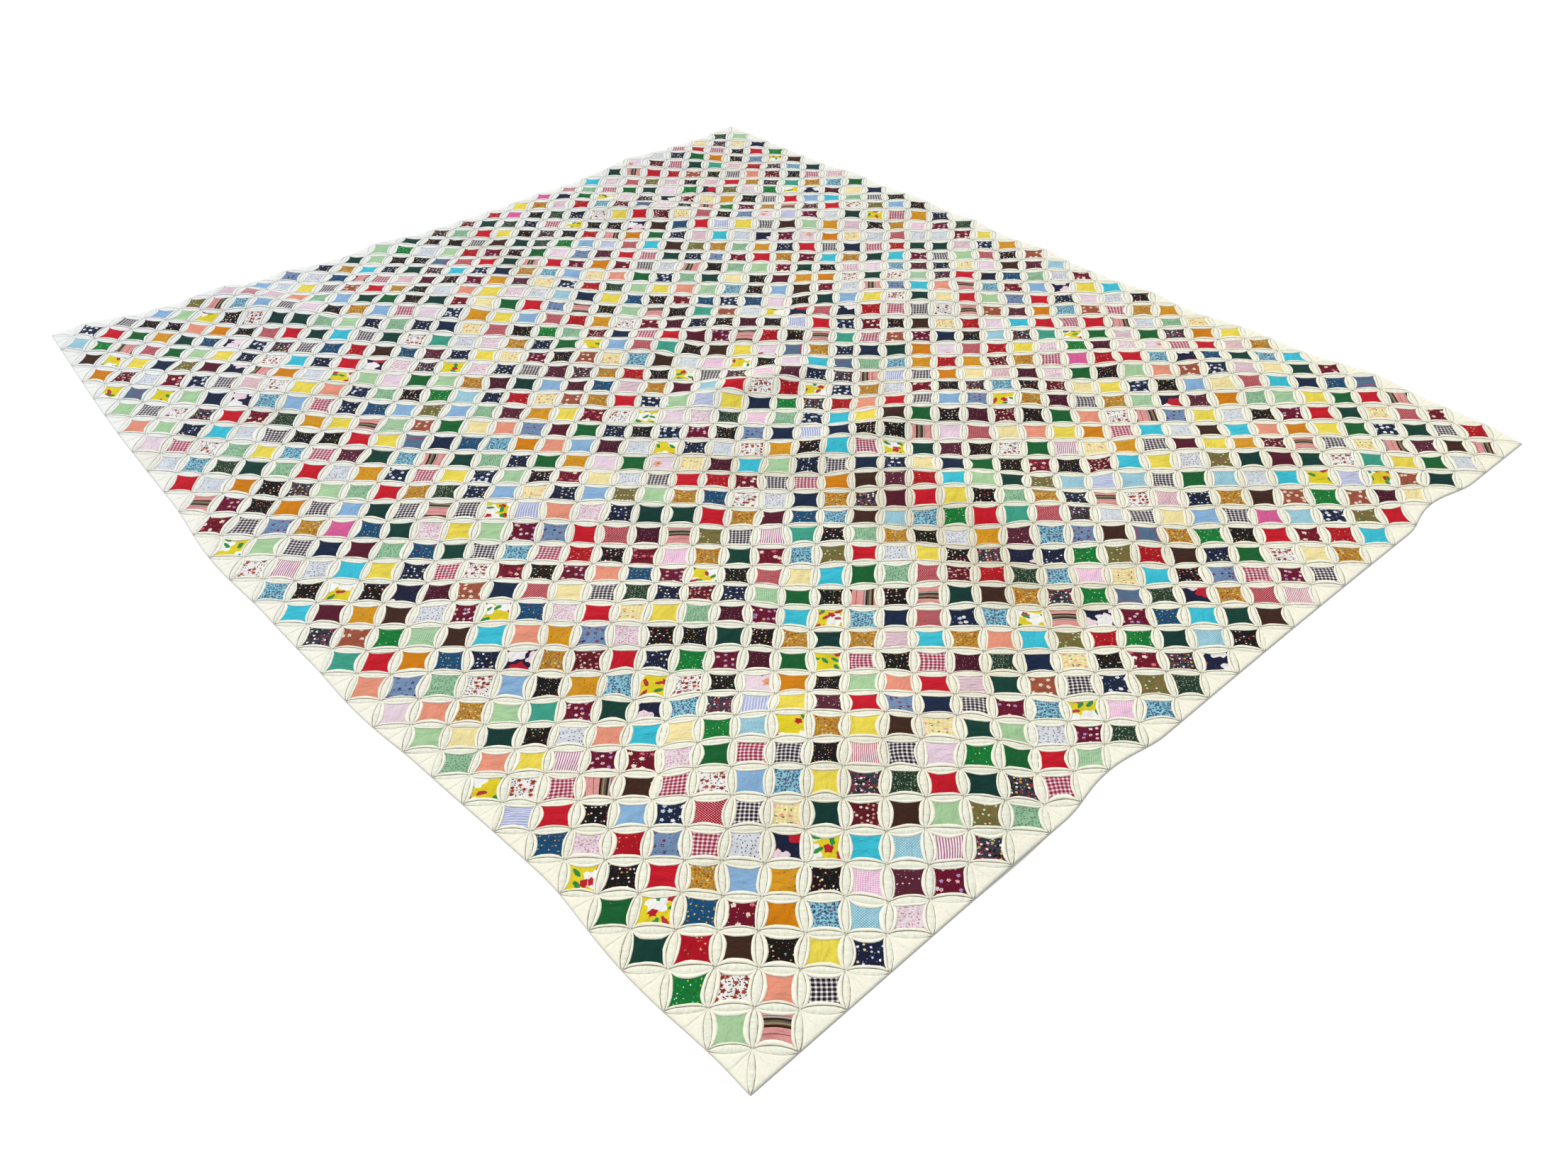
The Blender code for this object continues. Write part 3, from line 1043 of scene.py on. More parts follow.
C, S, D, F, L, K, V = Motif
FABRICS = (
    Fabric("mint", "plain_greens", 40, "#A3C798"),
    Fabric("forest", "plain_greens", 48, "#0D3B31"),
    Fabric("mid_green", "plain_greens", 44, "#125C2C"),
    Fabric("teal_green", "plain_greens", 26, "#3A9880"),
    Fabric("dark_teal", "plain_greens", 22, "#0B3530"),
    Fabric("red", "plain_reds", 60, "#BE1224"),
    Fabric("maroon", "plain_reds", 16, "#521327"),
    Fabric("rose", "plain_reds", 5, "#CF5A90"),
    Fabric("pale_lavender", "plain_reds", 12, "#E2CBD9"),
    Fabric("salmon", "plain_warms", 36, "#DF8F76"),
    Fabric("yellow", "plain_warms", 42, "#E3D04C"),
    Fabric("pale_yellow", "plain_warms", 26, "#E9DA9E"),
    Fabric("ochre", "plain_warms", 24, "#C77802"),
    Fabric("dark_brown", "plain_blues", 44, "#3B2318"),
    Fabric("navy", "plain_blues", 26, "#13243F"),
    Fabric("turquoise", "plain_blues", 34, "#37B8CD"),
    Fabric("cornflower", "plain_blues", 32, "#83AACE"),
    Fabric("black_gingham", "ginghams", 52, "#EFE9EB", (Print(C, "#1A1013", 6.35, 0.58),)),
    Fabric("crimson_gingham", "ginghams", 36, "#F0DFE4", (Print(C, "#960C36", 6.35, 0.56),)),
    Fabric("pink_gingham", "pale_ginghams", 8, "#EFE2EA", (Print(C, "#DEA6C6", 3.2, 0.5),)),
    Fabric("yellow_gingham", "pale_ginghams", 26, "#EDE5C6", (
        Print(C, "#E2CC7C", 6.35, 0.5),
        Print(F, "#DE957C #D9A694", 15.0, 0.22, 0.6, centre="#EAD7B4"),
        Print(L, "#4F7440", 11.0, 0.17, 0.5))),
    Fabric("bold_stripe", "stripes", 50, "#D6938F", (
        Print(S, "#2A1A14 #8C8760 #5F5448 #2A1A14 #A9A39A", 36.0, 0.45),
        Print(S, "#7A1F24", 12.0, 0.07))),
    Fabric("crimson_stripe", "stripes", 14, "#E6DADC", (Print(S, "#B12A48", 2.8, 0.34),)),
    Fabric("plum_stripe", "fine_stripes", 18, "#EDE3E4", (Print(S, "#A5547C", 3.6, 0.42),)),
    Fabric("lavender_stripe", "fine_stripes", 12, "#A6AED0", (Print(S, "#DCDFEC", 4.5, 0.3),)),
    Fabric("slate_stripe", "fine_stripes", 12, "#526A85", (Print(S, "#B9283A", 34.0, 0.05),)),
    Fabric("red_pin_dot", "dots", 34, "#A30D26", (Print(D, "#F0DCDE", 2.9, 0.21, turn=45.0),)),
    Fabric("blue_dot", "dots", 28, "#82B8C8", (Print(D, "#DCEAEE", 2.9, 0.22, turn=45.0),)),
    Fabric("green_dot", "small_dots", 18, "#93BC8F", (Print(D, "#E3E9DC", 3.4, 0.18),)),
    Fabric("maroon_dot", "small_dots", 24, "#451024", (Print(K, "#C79AA6", 6.5, 0.12, 0.7),)),
    Fabric("black_ditsy", "black_prints", 60, "#120E10", (
        Print(F, "#F0ECE6 #F0ECE6 #D5BFB4 #C0465A #D8A058", 7.0, 0.21, 0.62),
        Print(L, "#5B6A48 #8E2A3E", 4.2, 0.17, 0.3))),
    Fabric("black_gold", "dark_prints", 38, "#17100B", (
        Print(F, "#DDD67C #D0978A #86C0CC #DEDACD", 8.0, 0.17, 0.6),
        Print(K, "#B4AA7A #CDC8B6", 4.4, 0.13, 0.3))),
    Fabric("charcoal_floral", "dark_prints", 50, "#34363F", (
        Print(L, "#120E12 #8E2440", 7.5, 0.34, 0.8),
        Print(F, "#E9E5E0 #E9E5E0 #D9B04A #9C2A40", 9.0, 0.22, 0.7),
        Print(L, "#E9E5E0", 6.0, 0.14, 0.45))),
    Fabric("navy_sprig", "navy_prints", 46, "#161C36", (
        Print(F, "#EDEFF0 #BFD3EA #E0D59A", 9.0, 0.2, 0.65, centre="#D9B23A"),
        Print(K, "#C8D6EA", 4.5, 0.12, 0.35))),
    Fabric("navy_blossom", "blue_prints", 30, "#16213A", (
        Print(F, "#E8EAEC #C0CADC", 13.0, 0.26, 0.8, centre="#E8CC6A"),
        Print(L, "#8797B2", 7.0, 0.17, 0.4))),
    Fabric("blue_gold", "blue_prints", 36, "#12476C", (
        Print(F, "#D9AC48 #B9523C #D8BA70", 8.0, 0.16, 0.6, centre="#7A2A1E"),
        Print(L, "#3E6C52 #7FA6B6", 5.0, 0.15, 0.4))),
    Fabric("light_blue_floral", "light_blue_prints", 40, "#86BFD0", (
        Print(L, "#123A5C #1E5C78", 4.4, 0.3, 0.75),
        Print(F, "#16244E #5A1E4E #1E4468", 6.0, 0.31, 0.9, centre="#B4D4DC"))),
    Fabric("slate_floral", "light_blue_prints", 26, "#6F87A8", (
        Print(F, "#2C2A5C #7B1F3F", 12.0, 0.22, 0.7, centre="#D9A98F"),
        Print(L, "#30406E", 7.0, 0.18, 0.4))),
    Fabric("burgundy_daisy", "burgundy_prints", 38, "#6A0A20", (
        Print(F, "#EADDD2 #C4586C #E6D4C0", 14.0, 0.27, 0.65, centre="#D9A13A"),
        Print(K, "#E3D6D2", 6.5, 0.12, 0.35),
        Print(L, "#2A2038", 5.0, 0.2, 0.3))),
    Fabric("burgundy_ring", "burgundy_prints", 30, "#620A26", (
        Print(F, "#DCC9D4 #A88CC0 #D9B0AC", 11.0, 0.25, 0.7, centre="#5A2A6E"),
        Print(K, "#C87886", 4.0, 0.12, 0.35))),
    Fabric("rust_roses", "white_prints", 44, "#E9E5E1", (
        Print(L, "#22201E #22201E #5C5A50", 4.6, 0.3, 0.62),
        Print(F, "#8E3020 #A5472F", 9.5, 0.33, 0.62, centre="#4E160E"))),
    Fabric("pink_vine", "white_prints", 22, "#E6D9DD", (
        Print(V, "#BE8A9E", 6.0, 0.7),
        Print(F, "#B97C92 #C08CA0", 5.5, 0.24, 0.6))),
    Fabric("mustard_floral", "mustard_prints", 46, "#B6852A", (
        Print(L, "#5E5020 #D8AE4A #7E2C1C", 3.6, 0.26, 0.8),
        Print(F, "#971E1C #D6C49C #5F7080 #971E1C", 6.4, 0.25, 0.75, centre="#E0B440"))),
    Fabric("ochre_floral", "mustard_prints", 24, "#CE9018", (
        Print(F, "#8A8276 #B8602A #7A4A1E", 7.0, 0.17, 0.65, centre="#DCCEB0"),
        Print(K, "#A06818", 3.6, 0.14, 0.4))),
    Fabric("green_confetti", "green_prints", 42, "#0C7330", (
        Print(L, "#0C5A24 #3F9A4C", 5.0, 0.2, 0.5),
        Print(F, "#E2EAE2 #BCCF5A #8A1E2C #DDE6E4", 7.5, 0.14, 0.55))),
    Fabric("dark_green_ditsy", "green_prints", 28, "#203528", (
        Print(K, "#DEDDD0 #C6C9A6", 4.5, 0.18, 0.5),
        Print(L, "#5E7A55", 4.0, 0.25, 0.6))),
    Fabric("olive_ditsy", "earth_prints", 26, "#6E6A3A", (
        Print(F, "#DDD5B6 #A84E32", 7.5, 0.22, 0.7, centre="#3A3520"),
        Print(K, "#454524", 4.5, 0.18, 0.5))),
    Fabric("terracotta", "earth_prints", 26, "#9C4E3A", (
        Print(F, "#DDD2BE", 14.0, 0.25, 0.75, centre="#D9A24A"),
        Print(L, "#4A5A35", 7.0, 0.22, 0.5))),
    Fabric("mint_sprig", "earth_prints", 32, "#8EB894", (
        Print(L, "#2C5F44", 4.6, 0.24, 0.7),
        Print(K, "#1F4A37", 5.0, 0.14, 0.45))),
    Fabric("pale_blue_marks", "pale_prints", 18, "#CDD3DA", (
        Print(F, "#5F82A8 #BE7A90", 8.5, 0.16, 0.6, centre="#E2D6A0"),
        Print(L, "#6A9A94", 6.0, 0.16, 0.4))),
    Fabric("dash_print", "pale_prints", 22, "#D0D4DA", (Print(L, "#3A4060 #70485A", 6.2, 0.2, 0.9),)),
    Fabric("red_bouquet", "red_prints", 46, "#A60A1C", (
        Print(L, "#7C7034 #D8A080", 6.0, 0.18, 0.25),
        Print(F, "#D8A080 #7E6C3A #D9C2A8", 10.0, 0.14, 0.6, centre="#5E4A20"))),
    Fabric("dark_red_blossom", "red_prints", 28, "#5C121E", (
        Print(F, "#E2DAD4 #D0988E", 7.5, 0.26, 0.75, centre="#A4333F"),
        Print(L, "#2C1A1C", 5.0, 0.22, 0.4))),
    Fabric("plum_sprig", "plum_prints", 24, "#552030", (
        Print(F, "#E2D6DA", 8.0, 0.15, 0.3),
        Print(L, "#D9CCD2", 5.0, 0.11, 0.25))),
    Fabric("black_confetti", "plum_prints", 34, "#141216", (
        Print(K, "#DEDAD4 #C64A4A #D4B84A", 4.8, 0.18, 0.6),)),
    Fabric("yellow_bold", "yellow_prints", 38, "#D9C724", (
        Print(F, "#E9EAE6", 40.0, 0.36, 0.9),
        Print(F, "#B41E2C", 30.0, 0.22, 0.6),
        Print(L, "#2E8440 #2E8440 #A8303A", 21.0, 0.28, 0.7))),
    Fabric("pink_bold", "bold_prints", 12, "#DFCCD6", (
        Print(F, "#D99A7A #A3202C", 36.0, 0.22, 0.55, centre="#A3202C"),
        Print(K, "#4A3A4A", 16.0, 0.07, 0.5))),
    Fabric("navy_bold", "bold_prints", 26, "#161C36", (
        Print(F, "#E2CCD4 #E6E2E2 #B41428", 40.0, 0.38, 0.9),
        Print(K, "#A92334 #6A5A8A", 7.0, 0.13, 0.3))),
)
# The fabrics of the windows nearest the corner at +X, -Y, row by row away from it.
NEAR_ROWS = (
    "mint bold_stripe",
    "green_confetti rust_roses salmon black_gingham",
    "forest red_bouquet dark_brown black_gold yellow navy_sprig",
    "mid_green yellow_bold blue_gold burgundy_daisy ochre light_blue_floral blue_dot pink_vine",
    "yellow_bold black_ditsy red mustard_floral cornflower ochre_floral black_ditsy pink_gingham"
    " plum_sprig burgundy_ring",
    "blue_gold pink_vine red_bouquet slate_floral crimson_gingham dash_print navy_bold yellow_bold"
    " turquoise blue_dot plum_stripe charcoal_floral",
)


def add_node(
    tree: NodeTree, kind: str, inputs: dict, **settings: str | bool
) -> Node:
    """Add a shader node with its settings and links.

    Args:
        tree: The material's node tree.
        kind: The node's type, without the words that all types share.
        inputs: For each input's name or number, a value, a socket, or a node whose first output
            is meant.
        settings: The node's own properties.

    Returns:
        The new node.
    """
    node = tree.nodes.new("ShaderNode" + kind)
    for name, value in settings.items():
        setattr(node, name, value)
    for name, value in inputs.items():
        if isinstance(value, Node):
            value = value.outputs[0]
        if isinstance(value, NodeSocket):
            tree.links.new(value, node.inputs[name])
        else:
            node.inputs[name].default_value = value
    return node


def new_material(name: str) -> tuple[Material, AddNode]:
    """Make a material that has only its shader.

    Args:
        name: The material's name.

    Returns:
        The material, and add_node for its tree.
    """
    material = bpy.data.materials.new(name)
    material.use_nodes = True
    return material, partial(add_node, material.node_tree)


@dataclass(frozen=True)
class WovenCotton:
    """Plain-woven cotton: matte, with hardly a sheen, fine threads and soft wrinkles.

    To the eye it is dull and soft: light falls off evenly over it, and only the wrinkles catch it.
    The threads of such cloth stand 0.4 mm apart, too fine to show, so they are drawn coarser.
    The threads, slubs and wrinkles, their depths and the wrinkles' stretch are in millimetres.
    """

    roughness: float = 0.95
    roughness_spread: float = 0.05
    specular: float = 0.15
    sheen: float = 0.02
    thread: float = 1.1
    thread_depth: float = 0.04
    slub: float = 3.8462
    shade: float = 0.99
    mottle: float = 0.07
    wrinkle: float = 14.0
    wrinkle_depth: float = 4.4
    # Washed cotton creases along a slant to its threads, so the wrinkles are longer one way.
    wrinkle_slant: float = 38.0
    wrinkle_squeeze: float = 0.55

    def surface(
        self, material: Material, cloth: Node, colour: NodeSocket
    ) -> None:
        """Finish a material with the cloth's threads, wrinkles and slubs.

        Args:
            material: The material, with its shader.
            cloth: The node that gives places on the cloth, in metres.
            colour: The colour before the slubs shade it.
        """
        tree = material.node_tree
        add = partial(add_node, tree)
        turns = 2 * math.pi / (self.thread * MILLIMETRE)
        scaled = add("VectorMath", {0: cloth, 1: (turns,) * 3}, operation="MULTIPLY")
        parts = add("SeparateXYZ", {0: scaled}).outputs
        warp, weft = (add("Math", {0: parts[axis]}, operation="SINE") for axis in (0, 1))
        weave = add("Math", {0: warp, 1: weft}, operation="MULTIPLY")
        inputs = {
            "Vector": cloth,
            "Rotation": (0.0, 0.0, math.radians(self.wrinkle_slant)),
            "Scale": (1.0, self.wrinkle_squeeze, 1.0),
        }
        scale = 1 / (self.wrinkle * MILLIMETRE)
        inputs = {"Vector": add("Mapping", inputs), "Scale": scale, "Detail": 3.0}
        soft = add("TexNoise", inputs, noise_dimensions="2D")
        depth = self.wrinkle_depth * MILLIMETRE
        wrinkles = add("Bump", {"Height": soft, "Distance": depth, "Strength": 1.0})
        depth = self.thread_depth * MILLIMETRE
        inputs = {"Height": weave, "Distance": depth, "Strength": 1.0, "Normal": wrinkles}
        threads = add("Bump", inputs)
        inputs = {"Vector": cloth, "Scale": 1 / (self.slub * MILLIMETRE), "Detail": 2.0}
        slub = add("TexNoise", inputs, noise_dimensions="2D")
        shade, rough = (
            add("MapRange", {"Value": slub, "To Min": middle - spread, "To Max": middle + spread})
            for middle, spread in (
                (self.shade, self.mottle),
                (self.roughness, self.roughness_spread),
            )
        )
        tinted = add("VectorMath", {0: colour, 1: shade}, operation="MULTIPLY")
        sockets = tree.nodes["Principled BSDF"].inputs
        for name, node in (("Base Color", tinted), ("Roughness", rough), ("Normal", threads)):
            tree.links.new(node.outputs[0], sockets[name])
        sockets["Sheen Weight"].default_value = self.sheen
        sockets["Specular IOR Level"].default_value = self.specular


@dataclass(frozen=True)
class Muslin:
    """Unbleached cotton muslin, plain-woven and pressed.

    To the eye it is creamy and matte and yellowed in streaks; it is painted paler and greyer towards
    the far end for the light there, and painted brown in its creases for the shade in them.
    """

    name: str = "unbleached_cotton_muslin_plain_woven"
    weave: WovenCotton = WovenCotton(thread=1.3, wrinkle=12.0, wrinkle_depth=1.5)
    # Its tone wanders between these two, over about as many millimetres.
    warm: str = "#F1EBD5"
    cool: str = "#EFF0E1"
    tone: float = 454.55
    # Painted light: the half that lies away from the near corner is painted paler and greyer, for the
    # dimmer, cooler light there, between these two places down the room.
    far: str = "#E8E9E3"
    painted_far_light: tuple[float, float] = (0.7, -1.1)
    aged: str = "#EEE9E1"
    # Painted shade: where the cloth is folded in, a brown line a millimetre or two wide is painted for
    # the shade in the crease: the depths between which it darkens, and how dark it is on the near side
    # and the far side.
    crease: str = "#66512F"
    crease_depths: tuple[float, float] = (0.32, 0.80)
    crease_share: float = 0.95
    crease_share_far: float = 0.85
    # Blocks are whipped together every so many metres; width in blocks, and darkness of the seam.
    seam_pitch: float = 0.0
    seam_width: float = 0.012
    seam_share: float = 0.6

    def material(self) -> Material:
        """Make the material.

        Returns:
            The material, which reads the cloth's places, its age and the share of painted shade in its
            creases.
        """
        material, add = new_material(self.name)
        cloth = add("UVMap", {}, uv_map=YARDAGE)
        room = add("TexCoord", {}).outputs["Object"]
        scale = 1 / (self.tone * MILLIMETRE)
        tone = add("TexNoise", {"Vector": room, "Scale": scale, "Detail": 6.0})
        down = add("SeparateXYZ", {0: room})
        # Painted light: down the room the muslin is mixed towards the greyer far colour, for the
        # dimmer, cooler light at the far end.
        start, end = self.painted_far_light
        painted_far_light = add("MapRange", {0: down, 1: start, 2: end})
        age, depth = (
            add("Attribute", {}, attribute_name=name).outputs["Fac"]
            for name in (AGE_ATTRIBUTE, CREASE_SHADE_ATTRIBUTE)
        )
        # Painted shade: the creases are mixed towards the brown crease colour, a little less at the
        # far end.
        darkest = add("MapRange", {0: painted_far_light, 3: self.crease_share, 4: self.crease_share_far})
        start, end = self.crease_depths
        limits = {0: depth, 1: start, 2: end, 4: darkest}
        crease = add("MapRange", limits, interpolation_type="SMOOTHSTEP")
        if self.seam_pitch:
            crease = add("Math", {0: crease, 1: self.seams(add, cloth)}, operation="MAXIMUM")
        colour = linear_colour(self.warm)
        for share, tint, blend in (
            (tone, self.cool, "MIX"),
            (painted_far_light, self.far, "MIX"),
            (age, self.aged, "MULTIPLY"),
            (crease, self.crease, "MIX"),
        ):
            inputs = {0: share, 6: colour, 7: linear_colour(tint)}
            colour = add("Mix", inputs, data_type="RGBA", blend_type=blend).outputs[2]
        self.weave.surface(material, cloth, colour)
        return material

    def seams(self, add: AddNode, cloth: Node) -> Node:
        """Draw the seams where the folded blocks are whipped together.

        Args:
            add: Adds a node to the material.
            cloth: The node that gives places on the cloth, in metres.

        Returns:
            The node that tells where the seams are.
        """
        pitch = (1 / self.seam_pitch,) * 3
        blocks = add("VectorMath", {0: cloth, 1: pitch}, operation="MULTIPLY")
        parts = add("SeparateXYZ", {0: blocks}).outputs
        lines = {}
        for axis in (0, 1):
            away = add("Math", {0: parts[axis], 1: 0.5}, operation="PINGPONG")
            limits = {0: away, 1: 0.0, 2: self.seam_width, 3: self.seam_share, 4: 0.0}
            lines[axis] = add("MapRange", limits)
        return add("Math", lines, operation="MAXIMUM")


class Drawn(NamedTuple):
    """A drawn motif: where it is, a chance for each one of it, and where its heart is."""

    mask: Node
    chance: Node | NodeSocket | None = None
    heart: Node | None = None


@dataclass(frozen=True)
class Stamp:
    """Prints one layer of a fabric, flat on its threads."""

    add: AddNode
    layer: Print
    place: Node
    bar_share: float = 0.7
    # Outlines drawn by hand waver a little: how finely and how far, in repeats.
    waver: float = 3.5
    waver_size: float = 0.16
    disorder: float = 0.75
    petals: float = 5.0
    leaf_slimness: float = 2.3
    stem_bends: float = 1.6
    # These four are shares of the motif's size.
    petal_depth: float = 0.14
    heart_size: float = 0.36
    leaf_length: float = 1.4
    stem_size: float = 0.04

    def print_over(self, colour: NodeSocket) -> NodeSocket:
        """Print the layer over a colour.

        Args:
            colour: The colour underneath.

        Returns:
            The colour with the layer on it.
        """
        drawn = getattr(self, self.layer.motif.value)()
        inks = [linear_colour(ink) for ink in self.layer.colours.split()]
        ink = inks[0]
        if len(inks) > 1:
            ink = self.add("ValToRGB", {0: drawn.chance})
            ink.color_ramp.interpolation = "CONSTANT"
            stops = ink.color_ramp.elements
            while len(stops) < len(inks):
                stops.new(0.5)
            for step, tint in enumerate(inks):
                stops[step].position = step / len(inks)
                stops[step].color = tint
        coats = [(drawn.mask, ink)]
        if self.layer.centre:
            coats.append((drawn.heart, linear_colour(self.layer.centre)))
        for mask, coat in coats:
            inputs = {0: mask, 6: colour, 7: coat}
            colour = self.add("Mix", inputs, data_type="RGBA").outputs[2]
        return colour

    def check(self) -> Drawn:
        """Weave two sets of bars.

        Returns:
            The bars, which are darkest where they cross.
        """
        parts = self.add("SeparateXYZ", {0: self.place}).outputs
        bars = {}
        for axis in (0, 1):
            part = self.add("Math", {0: parts[axis]}, operation="FRACT")
            bar = self.add("Math", {0: part, 1: self.layer.size}, operation="LESS_THAN")
            bars[axis] = self.add("Math", {0: bar, 1: self.bar_share}, operation="MULTIPLY")
        return Drawn(self.add("Math", bars, operation="ADD", use_clamp=True))

    def stripe(self) -> Drawn:
        """Rule parallel stripes.

        Returns:
            The stripes, side by side where there are several colours.
        """
        parts = self.add("SeparateXYZ", {0: self.place})
        part = self.add("Math", {0: parts}, operation="FRACT")
        mask, chance = (
            self.add("Math", {0: part, 1: self.layer.size}, operation=operation)
            for operation in ("LESS_THAN", "DIVIDE")
        )
        return Drawn(mask, chance)

    def dot(self) -> Drawn:
        """Set round dots on a square grid.

        Returns:
            The dots.
        """
        inputs = {"Vector": self.place, "Scale": 1.0, "Randomness": 0.0}
        cell = self.add("TexVoronoi", inputs, voronoi_dimensions="2D")
        return Drawn(self.add("Math", {0: cell, 1: self.layer.size}, operation="LESS_THAN"))

    def scattered(self) -> tuple[Node, ...]:
        """Scatter places for motifs.

        Returns:
            The way from the nearest motif, three chances for that motif, and whether it is there.
        """
        inputs = {"Vector": self.place, "Scale": self.waver, "Detail": 1.0}
        waver = self.add("TexNoise", inputs, noise_dimensions="2D")
        inputs = {0: waver.outputs["Color"], 1: (self.waver_size,) * 3, 2: self.place}
        drawn = self.add("VectorMath", inputs, operation="MULTIPLY_ADD")
        inputs = {"Vector": drawn, "Scale": 1.0, "Randomness": self.disorder}
        cell = self.add("TexVoronoi", inputs, voronoi_dimensions="2D").outputs
        local = self.add("VectorMath", {0: drawn, 1: cell["Position"]}, operation="SUBTRACT")
        chances = self.add("SeparateColor", {0: cell["Color"]})
        inputs = {0: chances.outputs[1], 1: self.layer.share}
        return local, chances, self.add("Math", inputs, operation="LESS_THAN")

    def within(
        self, local: Node, limit: Node | float, there: Node
    ) -> Node:
        """Fill the motifs up to their outlines.

        Args:
            local: The way from the nearest motif.
            limit: How far its outline is from its middle.
            there: Whether that motif is there.

        Returns:
            The node that tells where the motifs are.
        """
        radius = self.add("VectorMath", {0: local}, operation="LENGTH").outputs["Value"]
        inside = self.add("Math", {0: radius, 1: limit}, operation="LESS_THAN")
        return self.add("Math", {0: inside, 1: there}, operation="MULTIPLY")

    def flower(self) -> Drawn:
        """Scatter five-petalled flowers.

        Returns:
            The flowers and their hearts.
        """
        size = self.layer.size
        local, chances, there = self.scattered()
        parts = self.add("SeparateXYZ", {0: local}).outputs
        angle = self.add("Math", {0: parts[1], 1: parts[0]}, operation="ARCTAN2")
        inputs = {0: chances.outputs[2], 1: 2 * math.pi}
        turned = self.add("Math", inputs, operation="MULTIPLY")
        lobes = self.add("Math", {0: angle, 1: self.petals, 2: turned}, operation="MULTIPLY_ADD")
        wave = self.add("Math", {0: lobes}, operation="COSINE")
        inputs = {0: wave, 1: self.petal_depth * size, 2: size}
        outline = self.add("Math", inputs, operation="MULTIPLY_ADD")
        mask, heart = (
            self.within(local, limit, there) for limit in (outline, self.heart_size * size)
        )
        return Drawn(mask, chances, heart)

    def leaf(self) -> Drawn:
        """Scatter slim leaves, each turned its own way.

        Returns:
            The leaves.
        """
        local, chances, there = self.scattered()
        inputs = {0: chances.outputs[2], 1: 2 * math.pi}
        turned = self.add("Math", inputs, operation="MULTIPLY")
        inputs = {"Vector": local, "Angle": turned}
        spun = self.add("VectorRotate", inputs, rotation_type="Z_AXIS")
        inputs = {0: spun, 1: (1.0, self.leaf_slimness, 1.0)}
        slim = self.add("VectorMath", inputs, operation="MULTIPLY")
        return Drawn(self.within(slim, self.leaf_length * self.layer.size, there), chances)

    def speck(self) -> Drawn:
        """Scatter small round specks."""
        local, chances, there = self.scattered()
        return Drawn(self.within(local, self.layer.size, there), chances)

    def vine(self) -> Drawn:
        """Draw thin winding stems.

        Returns:
            The stems.
        """
        inputs = {"Vector": self.place, "Scale": self.stem_bends, "Detail": 1.0}
        bend = self.add("TexNoise", inputs, noise_dimensions="2D")
        inputs = {0: bend, 1: 0.5, 2: self.stem_size * self.layer.size}
        return Drawn(self.add("Math", inputs, operation="COMPARE"))


@dataclass(frozen=True)
class PatchCotton:
    """Dyed or printed quilting cotton, plain-woven: matte, with its print flat on the threads."""

    fabric: Fabric
    weave: WovenCotton = WovenCotton()
    # Washing fades the dye unevenly, over so many millimetres: its darkest and its lightest.
    fade: float = 33.333
    faded: tuple[float, float] = (0.84, 1.08)
    # How far each layer is shifted from the one before it, in repeats.
    layer_shift: tuple[float, float] = (3.7, 1.3)

    def material(self) -> Material:
        """Make the material, with the print's layers in their order.

        Returns:
            The fabric's own material.
        """
        material, add = new_material(f"patch_cotton_plain_woven_{self.fabric.name}")
        cloth = add("UVMap", {}, uv_map=YARDAGE)
        inputs = {"Vector": cloth, "Scale": 1 / (self.fade * MILLIMETRE), "Detail": 1.0}
        fade = add("TexNoise", inputs, noise_dimensions="2D")
        low, high = self.faded
        worn = add("MapRange", {"Value": fade, "To Min": low, "To Max": high})
        dye = linear_colour(self.fabric.ground)[:3]
        colour = add("VectorMath", {0: dye, 1: worn}, operation="MULTIPLY").outputs[0]
        for number, layer in enumerate(self.fabric.layers):
            scale = 1 / (layer.repeat * MILLIMETRE)
            inputs = {
                "Vector": cloth,
                "Location": (*(number * shift for shift in self.layer_shift), 0.0),
                "Rotation": (0.0, 0.0, math.radians(layer.turn)),
                "Scale": (scale, scale, 1.0),
            }
            colour = Stamp(add, layer, add("Mapping", inputs)).print_over(colour)
        self.weave.surface(material, cloth, colour)
        return material


